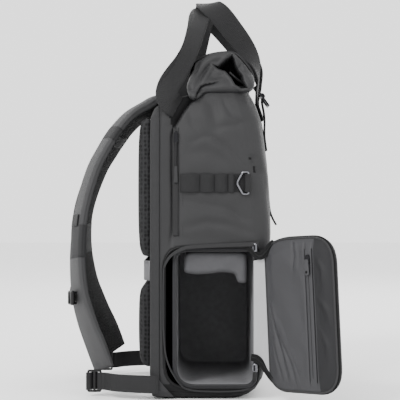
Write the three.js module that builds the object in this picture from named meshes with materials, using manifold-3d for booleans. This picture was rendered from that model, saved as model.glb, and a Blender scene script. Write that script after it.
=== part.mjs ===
// Camera backpack with a rolled top, standing on its base with the side door open.
// Millimetres: X runs from the wearer's back to the front, Y across, Z up.
// The origin is the middle of the flat of the base. The door is on the -Y side, the wearer's left.

import * as THREE from 'three';
import { mergeVertices } from 'three/addons/utils/BufferGeometryUtils.js';
import Module from 'manifold-3d';

const wasm = await Module();
wasm.setup();

// The bag
const bagHeight = 422; // floor to the seam below the roll
const bagWidth = 284;
const frontReach = 98; // origin to the front face, before its crown
const harnessReach = 69; // origin to the face that carries the back pads
const clothWall = 2.5;
const baseWall = 4;
const baseHeight = 10;
const collarRise = 9; // collar above its seam
const rearCorner = 12;
const frontCorner = 24;
const frontCrown = 5;
const valleyDepth = 6; // seam valley between the laptop part and the main part
const gussetDepth = 14; // twill part of the side, from the harness face
const gap = 0.3; // between pieces that touch

// The side opening, its cube and its door
const openingBack = 50; // origin to the rear edge of the opening
const openingFront = 81;
const openingLow = 14;
const openingHeight = 196;
const openingCorner = 36;
const bindingWidth = 5;
const bindingRise = 2.2;
const cubeWall = 6;
const cubeInset = 3; // the cube's mouth behind the side of the bag
const cubeRearGap = 12; // rear edge of the opening to the cube
const cubeFrontGap = 2;
const cubeFarGap = 30;
const dividerWall = 8;
const dividerLip = 31;
const dividerInset = 9; // the cube's mouth to the divider's lip
const dividerRear = 20; // origin back to its rear end
const dividerDrop = 1; // ceiling of the cube to the divider
const dividerFront = 64;
const dividerDepth = 210;
const dividerTail = 12; // its front end below the lip
const doorAngle = 46; // degrees that the door stands out from the front-to-back line
const doorSag = 3.5; // degrees that it hangs out of square
const doorWidth = 128;
const doorHeight = 206;
const doorTop = 220; // height of the top of its hinge edge
const doorWall = 9;
const doorCorner = 36;
const doorHingeCorner = 17;
const doorEdge = 3;
const hingeForward = 6; // front edge of the opening to the hinge
const gussetWall = 1.6;
const gussetShort = 28; // height of the opening to the length of the gusset
const gussetUp = 16; // lower edge of the opening to the gusset
const pocketZipPlace = 88; // hinge to the zip of the flat pocket
const pocketZipLength = 150;
const pocketPullLength = 22;

// Roll
const rollLength = 236;
const rollDepth = 90;
const rollHeight = 47;
const rollBack = 15; // origin to the rear of the roll
const rollWall = 3.2;

// Webbing
const handleWidth = 32;
const handleWall = 3;
const handleTop = 565;
const sideTapeWidth = 25;
const sideTapeWall = 1.6;
const sideTapeMiddle = 296;
const sideTapeRear = 27; // origin back to its rear end
const sideTapeBulge = 2;
const strapWidth = 64;
const strapWall = 14;
const strapReach = 172; // origin back to the middle of the strap where it stands furthest off
const strapTapeWidth = 24;
const strapTapeWall = 1.8;
const ladderLength = 20;
const ladderWall = 5;
const tabRear = 66; // origin back to the rear edge of the corner tab
const tabLength = 36;
const tabHeight = 34;
const tabWall = 2;
const strapTabTop = 262;
const strapTabLength = 30;
const strapTabWidth = 40;
const strapTabWall = 1.6;
const sternumHeight = 136;
const sternumTapeWidth = 20;
const sternumTapeWall = 1.8;
const sternumSliderWall = 9;
const sternumBuckleLength = 44;
const sternumBuckleWall = 10;
const closureTapeWidth = 25;
const closureTapeWall = 2;
const hookWidth = 34;
const hookLength = 36;
const hookWall = 3;
const hookLean = 36; // degrees that the hook leans out at its foot
const hookStand = 16; // front of the roll's box to the hook's middle bar
const hookDrop = 6; // underside of the roll to that bar

// D-ring
const ringWire = 3.2;
const ringAxis = 66; // origin to the axis of the ring's bar
const ringReach = 16; // axis of the bar to the middle of the wire at the tip
const ringShoulder = 7.5; // axis of the bar to where the arms turn in
const ringSlack = 0.9; // tape edge to the arms
const ringClearance = 0.4;

// Back
const padWidth = 212;
const padWall = 19;
const padChannel = 26;
const padChannelDepth = 8;
const upperPadLow = 191;
const upperPadHeight = 200;
const lowerPadLow = 37;
const lowerPadHeight = 120;
const luggageBandWidth = 28;
const luggageBandWall = 2.5;
const luggageBandStand = 9; // harness face to the band

// Zips
const zipWidth = 8;
const zipWall = 1.5;
const sideZipRear = 37; // origin back to its rear edge
const sideZipUp = 14; // upper edge of the opening to the zip
const sideZipLength = 148;
const pullWidth = 5;
const pullWall = 2;

const halfWidth = bagWidth / 2;
const radians = Math.PI / 180;
const at = (x, y, z) => new THREE.Vector3(x, y, z);

// Body sections from the floor to the mouth: height as a share of bagHeight, rear and front faces as
// shares of harnessReach and frontReach, and width as a share of bagWidth.
const bodyRows = [
  { up: 0, back: 0.84, front: 0.58, wide: 0.88 },
  { up: 0.01, back: 0.94, front: 0.68, wide: 0.935 },
  { up: 0.028, back: 0.99, front: 0.78, wide: 0.97 },
  { up: 0.065, back: 1, front: 0.88, wide: 0.99 },
  { up: 0.13, back: 1, front: 0.945, wide: 1 },
  { up: 0.26, back: 1, front: 0.99, wide: 1 },
  { up: 0.4, back: 1, front: 1, wide: 1 },
  { up: 0.52, back: 1, front: 0.995, wide: 1 },
  { up: 0.65, back: 1, front: 0.97, wide: 1 },
  { up: 0.775, back: 1, front: 0.925, wide: 0.995 },
  { up: 0.85, back: 1, front: 0.885, wide: 0.985 },
  { up: 0.915, back: 0.99, front: 0.84, wide: 0.97 },
  { up: 0.95, back: 0.9, front: 0.79, wide: 0.95 },
  { up: 0.975, back: 0.55, front: 0.74, wide: 0.93 },
  { up: 1, back: 0.03, front: 0.69, wide: 0.9 },
  { up: 1 + collarRise / bagHeight, back: -0.06, front: 0.64, wide: 0.87 },
];

// Points along the straight of the side, as shares of it, with the depth of the valley there.
const sideRows = [
  { along: 0.05, dip: 0 },
  { along: 0.115, dip: 0.35 },
  { along: 0.16, dip: 1 },
  { along: 0.205, dip: 0.25 },
  { along: 0.26, dip: 0 },
  { along: 0.55, dip: 0 },
  { along: 0.8, dip: 0 },
];

// The valley comes in above the opening and runs out below the shoulder: shares of bagHeight.
const valleyFade = { start: 0.47, full: 0.54, ebb: 0.88, end: 0.95 };

const clamp = (value, low, high) => Math.min(high, Math.max(low, value));
const smooth = (value) => value * value * (3 - 2 * value);

// Body section at a height, between the rows of the table.
function bodyAt(height) {
  const share = height / bagHeight;
  let upper = 1;
  while (upper < bodyRows.length - 1 && bodyRows[upper].up < share) {
    upper += 1;
  }
  const low = bodyRows[upper - 1];
  const high = bodyRows[upper];
  const part = clamp((share - low.up) / (high.up - low.up), 0, 1);
  const mix = (name) => low[name] + (high[name] - low[name]) * part;
  return {
    back: -harnessReach * mix('back'),
    front: frontReach * mix('front'),
    half: halfWidth * mix('wide'),
  };
}

// Height of the sloping shoulder above a place on X.
function shoulderAt(x) {
  const rows = bodyRows.slice(11);
  let upper = 1;
  while (upper < rows.length - 2 && -harnessReach * rows[upper].back < x) {
    upper += 1;
  }
  const low = rows[upper - 1];
  const high = rows[upper];
  const part = (x + harnessReach * low.back) / (harnessReach * (low.back - high.back));
  return bagHeight * (low.up + (high.up - low.up) * part);
}

// One ring of the body, as if its cloth were taken off by inset, from the middle of the back round both sides.
function bodyRing(height, inset) {
  const reach = [height - inset, height, height + inset].map(bodyAt);
  const [inner, outer] = inset < 0 ? [Math.min, Math.max] : [Math.max, Math.min];
  const back = inner(...reach.map((row) => row.back)) + inset;
  const front = outer(...reach.map((row) => row.front)) - inset;
  const half = outer(...reach.map((row) => row.half)) - inset;
  const rear = rearCorner - inset / 2;
  const fore = Math.min(frontCorner, (front - back) * 0.46) - inset / 2;
  const share = height / bagHeight;
  const rising = smooth(clamp((share - valleyFade.start) / (valleyFade.full - valleyFade.start), 0, 1));
  const ebbing = smooth(clamp((valleyFade.end - share) / (valleyFade.end - valleyFade.ebb), 0, 1));
  const side = [[back, -half * 0.45]];
  for (let step = 0; step <= 3; step += 1) {
    const angle = (step / 3) * 90 * radians;
    side.push([back + rear * (1 - Math.cos(angle)), -half + rear * (1 - Math.sin(angle))]);
  }
  for (const row of sideRows) {
    const x = back + rear + (front - fore - back - rear) * row.along;
    side.push([x, -half + valleyDepth * row.dip * rising * ebbing]);
  }
  for (let step = 0; step <= 6; step += 1) {
    const angle = (step / 6) * 90 * radians;
    side.push([front - fore * (1 - Math.sin(angle)), -half + fore * (1 - Math.cos(angle))]);
  }
  side.push([front + frontCrown * 0.8, -half * 0.35]);
  const other = side.map(([x, y]) => [x, -y]).reverse();
  const outline = [[back, 0], ...side, [front + frontCrown, 0], ...other];
  return outline.map(([x, y]) => at(x, y, height));
}

// Turns a geometry's faces outwards by the sign of its volume.
function facingOut(geometry) {
  const place = geometry.attributes.position;
  const corner = [at(0, 0, 0), at(0, 0, 0), at(0, 0, 0)];
  const index = geometry.index.array;
  let volume = 0;
  for (let k = 0; k < index.length; k += 3) {
    corner.forEach((point, c) => point.fromBufferAttribute(place, index[k + c]));
    volume += corner[0].dot(corner[1].clone().cross(corner[2]));
  }
  if (volume < 0) {
    for (let k = 0; k < index.length; k += 3) {
      [index[k + 1], index[k + 2]] = [index[k + 2], index[k + 1]];
    }
  }
  return geometry;
}

// Rings of points joined into a closed skin. The ends are capped, or the last ring meets the first.
function skin(rings, looped = false) {
  const count = rings[0].length;
  const place = rings.flat().flatMap((point) => point.toArray());
  const index = [];
  const spans = looped ? rings.length : rings.length - 1;
  for (let row = 0; row < spans; row += 1) {
    const here = row * count;
    const next = ((row + 1) % rings.length) * count;
    for (let k = 0; k < count; k += 1) {
      const beside = (k + 1) % count;
      index.push(here + k, here + beside, next + beside);
      index.push(here + k, next + beside, next + k);
    }
  }
  const last = (rings.length - 1) * count;
  for (let k = 1; k < count - 1 && !looped; k += 1) {
    index.push(0, k + 1, k);
    index.push(last, last + k, last + k + 1);
  }
  const geometry = new THREE.BufferGeometry();
  geometry.setAttribute('position', new THREE.Float32BufferAttribute(place, 3));
  geometry.setIndex(index);
  return facingOut(geometry);
}

// A section carried along a smooth route. Each row of the route has a place, the way its width lies, and
// the share of the width and of the thickness that it has there.
function carried(route, section, stepsEach) {
  const places = new THREE.CatmullRomCurve3(route.map((row) => row.at));
  const widths = new THREE.CatmullRomCurve3(route.map((row) => row.across));
  const sizes = new THREE.CatmullRomCurve3(route.map((row) => at(row.wide ?? 1, row.thick ?? 1, 0)));
  const steps = (route.length - 1) * stepsEach;
  const rings = [];
  for (let step = 0; step <= steps; step += 1) {
    const along = step / steps;
    const tangent = places.getTangent(along);
    const across = widths.getPoint(along);
    across.addScaledVector(tangent, -across.dot(tangent)).normalize();
    const through = tangent.clone().cross(across);
    const middle = places.getPoint(along);
    const size = sizes.getPoint(along);
    rings.push(section.map(([a, b]) => (
      middle.clone().addScaledVector(across, a * size.x).addScaledVector(through, b * size.y)
    )));
  }
  return skin(rings);
}

const flatSection = (width, wall) => [
  [-width / 2, -wall / 2],
  [width / 2, -wall / 2],
  [width / 2, wall / 2],
  [-width / 2, wall / 2],
];

// Padded section: flat faces and round edges.
function paddedSection(width, wall) {
  const round = wall * 0.42;
  const section = [];
  for (const [sideways, start] of [[1, -90], [-1, 90]]) {
    for (let step = 0; step <= 4; step += 1) {
      const angle = (start + step * 45) * radians;
      const x = sideways * (width / 2 - round) + round * Math.cos(angle);
      section.push([x, (wall / 2) * Math.sin(angle)]);
    }
  }
  return section;
}

// Outline with rounded corners, each corner given as x, y and radius.
function roundedShape(corners) {
  const shape = new THREE.Shape();
  corners.forEach(([x, y, radius], k) => {
    const corner = new THREE.Vector2(x, y);
    const [beforeX, beforeY] = corners[(k + corners.length - 1) % corners.length];
    const [afterX, afterY] = corners[(k + 1) % corners.length];
    const toBefore = new THREE.Vector2(beforeX, beforeY).sub(corner);
    const toAfter = new THREE.Vector2(afterX, afterY).sub(corner);
    const enter = corner.clone().addScaledVector(toBefore.normalize(), radius);
    const leave = corner.clone().addScaledVector(toAfter.normalize(), radius);
    if (k === 0) {
      shape.moveTo(enter.x, enter.y);
    } else {
      shape.lineTo(enter.x, enter.y);
    }
    if (radius > 0) {
      shape.bezierCurveTo(
        ...enter.clone().lerp(corner, 0.55).toArray(),
        ...leave.clone().lerp(corner, 0.55).toArray(),
        leave.x,
        leave.y,
      );
    }
  });
  shape.closePath();
  return shape;
}

const rectangle = (x0, x1, y0, y1, radius) => roundedShape([
  [x0, y0, radius], [x1, y0, radius], [x1, y1, radius], [x0, y1, radius],
]);

// A shape given some thickness, with its edges rounded by edge.
function slab(shape, depth, edge = 0, curveSegments = 5) {
  const geometry = new THREE.ExtrudeGeometry(shape, {
    depth: depth - 2 * edge,
    curveSegments,
    bevelEnabled: edge > 0,
    bevelThickness: edge,
    bevelSize: edge,
    bevelOffset: -edge,
    bevelSegments: 2,
  });
  return geometry.translate(0, 0, edge);
}

// A slab drawn in X and Z, with its far face at y and its depth towards the door side.
function sideSlab(shape, y, depth, edge, curveSegments) {
  return slab(shape, depth, edge, curveSegments).rotateX(Math.PI / 2).translate(0, y, 0);
}

// Outline of a strip of one thickness along a flat path.
function stripShape(points, wall) {
  const path = points.map(([x, y]) => new THREE.Vector2(x, y));
  const edge = (sign) => path.map((point, k) => {
    const before = path[Math.max(0, k - 1)];
    const after = path[Math.min(path.length - 1, k + 1)];
    const along = after.clone().sub(before).normalize();
    return point.clone().add(new THREE.Vector2(-along.y, along.x).multiplyScalar((sign * wall) / 2));
  });
  return new THREE.Shape([...edge(1), ...edge(-1).reverse()]);
}

// The same points, with smooth stretches between them.
function curved(points, stepsEach) {
  const curve = new THREE.SplineCurve(points.map(([x, y]) => new THREE.Vector2(x, y)));
  return curve.getPoints((points.length - 1) * stepsEach).map((point) => point.toArray());
}

function solidOf(geometry) {
  const bare = geometry.clone();
  bare.deleteAttribute('normal');
  bare.deleteAttribute('uv');
  const merged = mergeVertices(bare, 1e-4);
  return new wasm.Manifold(new wasm.Mesh({
    numProp: 3,
    vertProperties: Float32Array.from(merged.attributes.position.array),
    triVerts: Uint32Array.from(merged.index.array),
  }));
}

function geometryOf(solid) {
  const mesh = solid.getMesh();
  const geometry = new THREE.BufferGeometry();
  geometry.setAttribute('position', new THREE.BufferAttribute(mesh.vertProperties, 3));
  geometry.setIndex(new THREE.BufferAttribute(mesh.triVerts, 1));
  return geometry;
}

// Box between two corners.
function boxSolid(x0, x1, y0, y1, z0, z1) {
  const box = new THREE.BoxGeometry(x1 - x0, y1 - y0, z1 - z0);
  box.translate((x0 + x1) / 2, (y0 + y1) / 2, (z0 + z1) / 2);
  return solidOf(box);
}

const finishes = {
  tarpaulin: { color: 0x55565a, roughness: 0.55 },
  twill: { color: 0x3c3d40, roughness: 0.85 },
  baseCloth: { color: 0x1d1d1f, roughness: 0.8 },
  webbing: { color: 0x48494c, roughness: 0.8 },
  mesh: { color: 0x2a2a2c, roughness: 0.95 },
  lining: { color: 0x77787b, roughness: 0.7 },
  paleLining: { color: 0xc8c8c8, roughness: 0.75 },
  plastic: { color: 0x161617, roughness: 0.45 },
  metal: { color: 0x6c6d70, roughness: 0.35, metalness: 1 },
};

const bag = new THREE.Group();

function piece(name, finish, geometry, parent = bag) {
  const mesh = new THREE.Mesh(geometry, new THREE.MeshStandardMaterial(finishes[finish]));
  mesh.name = name;
  parent.add(mesh);
  return mesh;
}

// Tarpaulin body, harness panel and base, cut from one lofted shell.
function makeShell() {
  const heights = bodyRows.map((row) => row.up * bagHeight);
  const mouth = heights[heights.length - 1];
  const inside = [baseWall, ...heights.slice(2), mouth + 2 * baseWall];
  const outer = solidOf(skin(heights.map((height) => bodyRing(height, 0))));
  const inner = solidOf(skin(inside.map((height) => bodyRing(height, clothWall))));
  const shell = outer.subtract(inner);
  const span = 2 * (harnessReach + frontReach + bagWidth);
  const seam = -harnessReach + gussetDepth;
  const aboveBase = baseHeight + gap;
  const opening = solidOf(sideSlab(openingShape(0), 0, bagWidth));
  const front = boxSolid(seam + gap / 2, span, -span, span, aboveBase, span + mouth);
  const rear = boxSolid(-span, seam - gap / 2, -span, span, aboveBase, span + mouth);
  const low = boxSolid(-span, span, -span, span, -baseHeight, baseHeight);
  piece('bag_body', 'tarpaulin', geometryOf(shell.intersect(front).subtract(opening)));
  piece('harness_panel', 'twill', geometryOf(shell.intersect(rear)));
  piece('base_panel', 'baseCloth', geometryOf(shell.intersect(low)));
}

// The side opening, or a line that runs round it at a distance.
function openingShape(out) {
  const [low, high] = [openingLow - out, openingLow + openingHeight + out];
  const [rear, fore] = [-openingBack - out, openingFront + out];
  return roundedShape([
    [rear, low, openingCorner + out],
    [fore, low, openingCorner * 0.5 + out],
    [fore, high, openingCorner * 0.2 + out],
    [rear, high, openingCorner * 0.8 + out],
  ]);
}


// A skin of some thickness over the body's cloth, standing off it by the gap.
function overBody(wall) {
  const heights = bodyRows.map((row) => row.up * bagHeight);
  const outer = solidOf(skin(heights.map((height) => bodyRing(height, -gap - wall))));
  return outer.subtract(solidOf(skin(heights.map((height) => bodyRing(height, -gap)))));
}

// What lies inside a side outline, on the door side or on the far side of the bag.
function throughSide(shape, side) {
  return solidOf(sideSlab(shape, halfWidth * (side < 0 ? -0.7 : 1.7), halfWidth));
}

// Faces of the cube's box, worked out from the opening.
const cube = {
  rear: -openingBack + cubeRearGap,
  fore: openingFront - cubeFrontGap,
  low: openingLow + gap,
  high: openingLow + openingHeight - cubeFrontGap,
  mouth: -halfWidth + cubeInset,
  far: halfWidth - cubeFarGap,
};

function cubeShape(inset) {
  return roundedShape([
    [cube.rear + inset, cube.low + inset, openingCorner * 0.9 - inset],
    [cube.fore - inset, cube.low + inset, openingCorner * 0.55 - inset],
    [cube.fore - inset, cube.high - inset, openingCorner * 0.3 - inset],
    [cube.rear + inset, cube.high - inset, openingCorner * 0.55 - inset],
  ]);
}

function makeCube() {
  const outer = solidOf(sideSlab(cubeShape(0), cube.far, cube.far - cube.mouth));
  const inner = solidOf(sideSlab(cubeShape(cubeWall), cube.far - cubeWall, bagWidth));
  piece('camera_cube', 'baseCloth', geometryOf(outer.subtract(inner)));
  const ceiling = cube.high - cubeWall - dividerDrop;
  const lipLow = ceiling - dividerLip;
  const face = cube.mouth + dividerInset;
  const shelfFar = face + dividerDepth;
  const shelf = boxSolid(-dividerRear, dividerFront, face, shelfFar, ceiling - dividerWall, ceiling);
  const lip = boxSolid(-dividerRear, dividerFront, face, face + dividerWall, lipLow, ceiling);
  const tail = boxSolid(dividerFront - dividerWall, dividerFront, face, face + dividerWall,
    lipLow - dividerTail, ceiling);
  piece('cube_divider', 'lining', geometryOf(shelf.add(lip).add(tail)));
}

// Raised binding round the opening, up to the gusset of the door.
function makeBinding() {
  const ring = throughSide(openingShape(gap + bindingWidth), -1).subtract(throughSide(openingShape(gap), -1));
  const side = boxSolid(-harnessReach, openingFront - doorHingeCorner, -bagWidth, 0, 0, bagHeight);
  piece('opening_binding', 'tarpaulin', geometryOf(overBody(bindingRise).intersect(ring).intersect(side)));
}

const hinge = at(openingFront + hingeForward, -halfWidth + 1, doorTop);

function makeDoor() {
  const swing = new THREE.Group();
  swing.position.copy(hinge);
  swing.rotation.z = -doorAngle * radians;
  const door = new THREE.Group();
  door.rotation.y = -doorSag * radians;
  swing.add(door);
  bag.add(swing);
  const outline = roundedShape([
    [0, -doorHeight, doorHingeCorner],
    [doorWidth, -doorHeight, doorCorner],
    [doorWidth, 0, doorCorner],
    [0, 0, doorHingeCorner],
  ]);
  piece('door_panel', 'lining', sideSlab(outline, doorWall, doorWall, doorEdge), door);
  const zipTop = -(doorHeight - pocketZipLength) / 2;
  const strip = rectangle(pocketZipPlace - zipWidth / 2, pocketZipPlace + zipWidth / 2,
    zipTop - pocketZipLength, zipTop, zipWidth / 4);
  piece('door_pocket_zip', 'baseCloth', sideSlab(strip, -gap, zipWall), door);
  const pull = rectangle(pocketZipPlace - pullWidth / 2, pocketZipPlace + pullWidth / 2,
    zipTop - pocketPullLength, zipTop, pullWidth / 3);
  piece('door_pocket_pull', 'plastic', sideSlab(pull, -2 * gap - zipWall, pullWall), door);
}

// Pale fabric from the cube's mouth to the inner face of the door, with the sliders of its zip. The door
// hangs out of square, so half its height times the sine of that lean is added to the reach.
function makeGusset() {
  const gussetLow = openingLow + gussetUp;
  const gussetHeight = openingHeight - gussetShort;
  const start = at(cube.fore - cubeWall, cube.mouth - gap - gussetWall / 2, gussetLow);
  const turn = doorAngle * radians;
  const onDoor = hinge.clone().setZ(gussetLow);
  const reach = doorEdge + (doorHeight / 2) * Math.sin(doorSag * radians);
  onDoor.add(at(Math.cos(turn), -Math.sin(turn), 0).multiplyScalar(reach));
  onDoor.add(at(-Math.sin(turn), -Math.cos(turn), 0).multiplyScalar(gussetWall / 2 + gap));
  const span = start.distanceTo(onDoor);
  const strip = new THREE.Group();
  strip.position.copy(start);
  strip.rotation.z = Math.atan2(onDoor.y - start.y, onDoor.x - start.x);
  bag.add(strip);
  const cloth = roundedShape([
    [0, 0, span * 0.3], [span, -span * 0.6, span * 0.1], [span, gussetHeight, 0], [0, gussetHeight * 0.985, 0],
  ]);
  piece('door_gusset', 'paleLining', sideSlab(cloth, gussetWall / 2, gussetWall), strip);
  const pullFace = -gussetWall / 2 - gap;
  const pulls = [['opening_pull_upper', gussetHeight - 5], ['opening_pull_lower', 8]];
  for (const [name, height] of pulls) {
    const body = rectangle(0.5, 0.5 + zipWidth, height, height + 2.4 * pullWidth, pullWidth / 2);
    piece(name, 'metal', sideSlab(body, pullFace, 2 * pullWall), strip);
  }
}

// The roll: one band of cloth from its tongue round the front, top and rear, and back under itself.
// Shares of rollDepth and rollHeight, from its rear and from the top of the collar.
const rollRows = [
  { along: 0.63, up: 0.42 },
  { along: 0.77, up: 0.18 },
  { along: 0.89, up: 0.05 },
  { along: 0.96, up: 0.08 },
  { along: 0.985, up: 0.24 },
  { along: 0.93, up: 0.5 },
  { along: 0.8, up: 0.8 },
  { along: 0.67, up: 0.965 },
  { along: 0.47, up: 0.965 },
  { along: 0.25, up: 0.87 },
  { along: 0.07, up: 0.67 },
  { along: 0.018, up: 0.4 },
  { along: 0.03, up: 0.13 },
  { along: 0.11, up: 0.035 },
  { along: 0.25, up: 0.035 },
  { along: 0.4, up: 0.09 },
  { along: 0.53, up: 0.2 },
];

const rollFloor = bagHeight + collarRise + 2 * gap;

function makeRoll() {
  const points = rollRows.map(({ along, up }) => [-rollBack + along * rollDepth, rollFloor + up * rollHeight]);
  const band = stripShape(curved(points, 2), rollWall);
  piece('roll_top', 'tarpaulin', sideSlab(band, rollLength / 2, rollLength, 0, 1));
}

// Handles: half of each loop, from its foot to the middle of its top. Along and across are shares of
// frontReach and of half the bag's width, up of handleTop. A row sewn to the bag has its height as a share
// of bagHeight, and lies on the side or the front face there.
const handleRows = {
  rear: [
    { along: -0.4, sewn: 'side', up: 0.915, lie: [1, 0, 0] },
    { along: -0.41, sewn: 'side', up: 0.95, lie: [1, 0, 0] },
    { along: -0.4, sewn: 'side', up: 0.975, lie: [1, 0, 0] },
    { along: -0.35, across: 0.925, up: 0.762, lie: [0.95, 0.1, -0.2] },
    { along: -0.26, across: 0.92, up: 0.798, lie: [0.93, 0.1, -0.3] },
    { along: -0.13, across: 0.89, up: 0.85, lie: [0.95, 0.1, -0.25] },
    { along: -0.05, across: 0.77, up: 0.905, lie: [0.97, 0.1, -0.15] },
    { along: 0.01, across: 0.52, up: 0.962, lie: [1, 0, -0.05] },
    { along: 0.08, across: 0.26, up: 0.993, lie: [1, 0, 0] },
    { along: 0.11, across: 0, up: 1, lie: [1, 0, 0] },
  ],
  front: [
    { across: 0.45, sewn: 'front', up: 0.915, lie: [0, 1, 0] },
    { across: 0.45, sewn: 'front', up: 0.95, lie: [0, 1, 0] },
    { across: 0.45, sewn: 'front', up: 0.975, lie: [0, 1, 0] },
    { along: 0.83, across: 0.45, up: 0.76, lie: [0.1, 1, 0] },
    { along: 0.845, across: 0.455, up: 0.79, lie: [0.12, 1, 0.1] },
    { along: 0.8, across: 0.47, up: 0.83, lie: [0.45, 0.8, 0.3] },
    { along: 0.62, across: 0.48, up: 0.872, lie: [0.8, 0.3, 0.5] },
    { along: 0.46, across: 0.47, up: 0.912, lie: [0.85, 0.15, 0.45] },
    { along: 0.32, across: 0.39, up: 0.955, lie: [0.95, 0, 0.25] },
    { along: 0.2, across: 0.26, up: 0.983, lie: [1, 0, 0.1] },
    { along: 0.15, across: 0, up: 0.9935, lie: [1, 0, 0] },
  ],
};

function makeHandle(name, rows) {
  const route = rows.map(({ along, across, up, lie, sewn }) => {
    const place = at(along * frontReach, -across * halfWidth, up * handleTop);
    if (sewn) {
      place.z = up * bagHeight;
    }
    if (sewn === 'side') {
      place.y = -bodyAt(place.z).half - 3 * gap - handleWall / 2;
    }
    if (sewn === 'front') {
      place.x = bodyAt(place.z).front + frontCrown + 2 * gap + handleWall / 2;
    }
    return { at: place, across: at(...lie) };
  });
  const other = route.slice(0, -1).reverse().map((row) => ({
    at: row.at.clone().setY(-row.at.y),
    across: row.across.clone().setY(-row.across.y),
  }));
  piece(name, 'twill', carried([...route, ...other], flatSection(handleWidth, handleWall), 3));
}

// Shoulder strap from its sewn top end to its lower end: out is a share of strapReach behind the origin,
// across of half the bag's width, up of bagHeight.
const strapRows = [
  { out: 0.25, across: 0.37, up: 0.98, thick: 0.45 },
  { out: 0.36, across: 0.38, up: 0.985, thick: 0.7 },
  { out: 0.46, across: 0.4, up: 0.963, thick: 0.95 },
  { out: 0.58, across: 0.425, up: 0.934 },
  { out: 0.69, across: 0.46, up: 0.885 },
  { out: 0.79, across: 0.49, up: 0.82 },
  { out: 0.875, across: 0.52, up: 0.75 },
  { out: 0.955, across: 0.56, up: 0.64 },
  { out: 0.992, across: 0.59, up: 0.54 },
  { out: 1, across: 0.625, up: 0.43 },
  { out: 0.985, across: 0.66, up: 0.33 },
  { out: 0.935, across: 0.7, up: 0.245 },
  { out: 0.87, across: 0.735, up: 0.165, wide: 0.9 },
  { out: 0.82, across: 0.765, up: 0.105, wide: 0.6, thick: 0.6 },
];
const strapRoll = 16; // degrees that the strap's outer face turns to its side

function strapRow(row, side) {
  const turn = strapRoll * radians;
  return {
    at: at(-row.out * strapReach, side * row.across * halfWidth, row.up * bagHeight),
    across: at(-Math.sin(turn), -side * Math.cos(turn), 0),
    wide: row.wide,
    thick: row.thick,
  };
}

// Place on the strap's outer face at a height, and the direction that it faces.
function strapFace(height, side) {
  const share = height / bagHeight;
  const k = strapRows.findIndex((row, index) => index > 8 && row.up <= share);
  const [high, low] = [strapRows[k - 1], strapRows[k]];
  const part = (high.up - share) / (high.up - low.up);
  const place = strapRow(high, side).at.lerp(strapRow(low, side).at, part);
  const turn = strapRoll * radians;
  const facing = at(-Math.cos(turn), side * Math.sin(turn), 0);
  return { place: place.addScaledVector(facing, strapWall / 2), facing };
}

function makeStrap(label, side) {
  const rows = strapRows.map((row) => strapRow(row, side));
  rows[0].at.z = shoulderAt(rows[0].at.x) + gap + (strapWall * rows[0].thick) / 2;
  piece(`shoulder_strap_${label}`, 'tarpaulin', carried(rows, paddedSection(strapWidth, strapWall), 2));
}

// Parts of the strap's lower end: a ladder lock, the tape through it and the tab on the bag's corner.
function makeLowerEnd(label, side) {
  const end = strapRow(strapRows[strapRows.length - 1], side).at;
  const middle = at(end.x - ladderLength * 0.3, end.y, end.z - strapTapeWidth * 0.75 - ladderWall);
  const outer = rectangle(-ladderLength / 2, ladderLength / 2, -strapTapeWidth / 2 - ladderWall * 0.7,
    strapTapeWidth / 2 + ladderWall * 0.7, ladderWall / 2);
  const slotHigh = strapTapeWidth / 2 + 2 * gap;
  const slotWide = strapTapeWall + 8 * gap + ladderWall * 0.3;
  let lock = solidOf(sideSlab(outer, ladderWall * 0.35, ladderWall * 0.7, 0, 2));
  for (const place of [-1, 1]) {
    const x = place * ladderLength * 0.22;
    const slotCut = boxSolid(x - slotWide / 2, x + slotWide / 2, -ladderWall, ladderWall, -slotHigh, slotHigh);
    lock = lock.subtract(slotCut);
  }
  piece(`ladder_lock_${label}`, 'plastic', geometryOf(lock).translate(middle.x, middle.y, middle.z));
  // The tape: under the middle bar, out through both slots, and forward to the tab.
  const turn = ladderWall * 0.35 + gap + strapTapeWall / 2;
  const slot = ladderLength * 0.22;
  const tabFace = -bodyAt(tabHeight).half - 2 * gap - tabWall - strapTapeWall / 2;
  const outside = side * middle.y;
  const route = [
    [-tabRear + tabLength * 0.25, -tabFace],
    [-tabRear - tabWall, -tabFace],
    [middle.x + ladderLength * 1.7, (outside - tabFace) / 2 + turn],
    [middle.x + ladderLength * 0.75, outside + turn * 1.5],
    [middle.x + slot + slotWide * 0.35, outside + turn],
    [middle.x + slot, outside],
    [middle.x + slot * 0.5, outside - turn],
    [middle.x - slot * 0.5, outside - turn],
    [middle.x - slot, outside],
    [middle.x - slot - slotWide * 0.35, outside + turn],
    [middle.x - slot - slotWide * 1.2, outside + turn * 1.5],
  ].map(([x, y]) => [x, side * y]);
  const tape = slab(stripShape(curved(route, 3), strapTapeWall), strapTapeWidth, 0, 1);
  tape.translate(0, 0, middle.z - strapTapeWidth / 2);
  piece(`strap_webbing_${label}`, 'webbing', tape);
}

// Stitched tab on the outer face of the strap.
function makeStrapTab(label, side) {
  const rows = [0, 0.5, 1].map((part) => {
    const { place, facing } = strapFace(strapTabTop - part * strapTabLength, side);
    const turn = strapRoll * radians;
    return {
      at: place.addScaledVector(facing, gap + strapTabWall / 2),
      across: at(-Math.sin(turn), -side * Math.cos(turn), 0),
    };
  });
  piece(`strap_tab_${label}`, 'webbing', carried(rows, flatSection(strapTabWidth, strapTabWall), 2));
}

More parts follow.
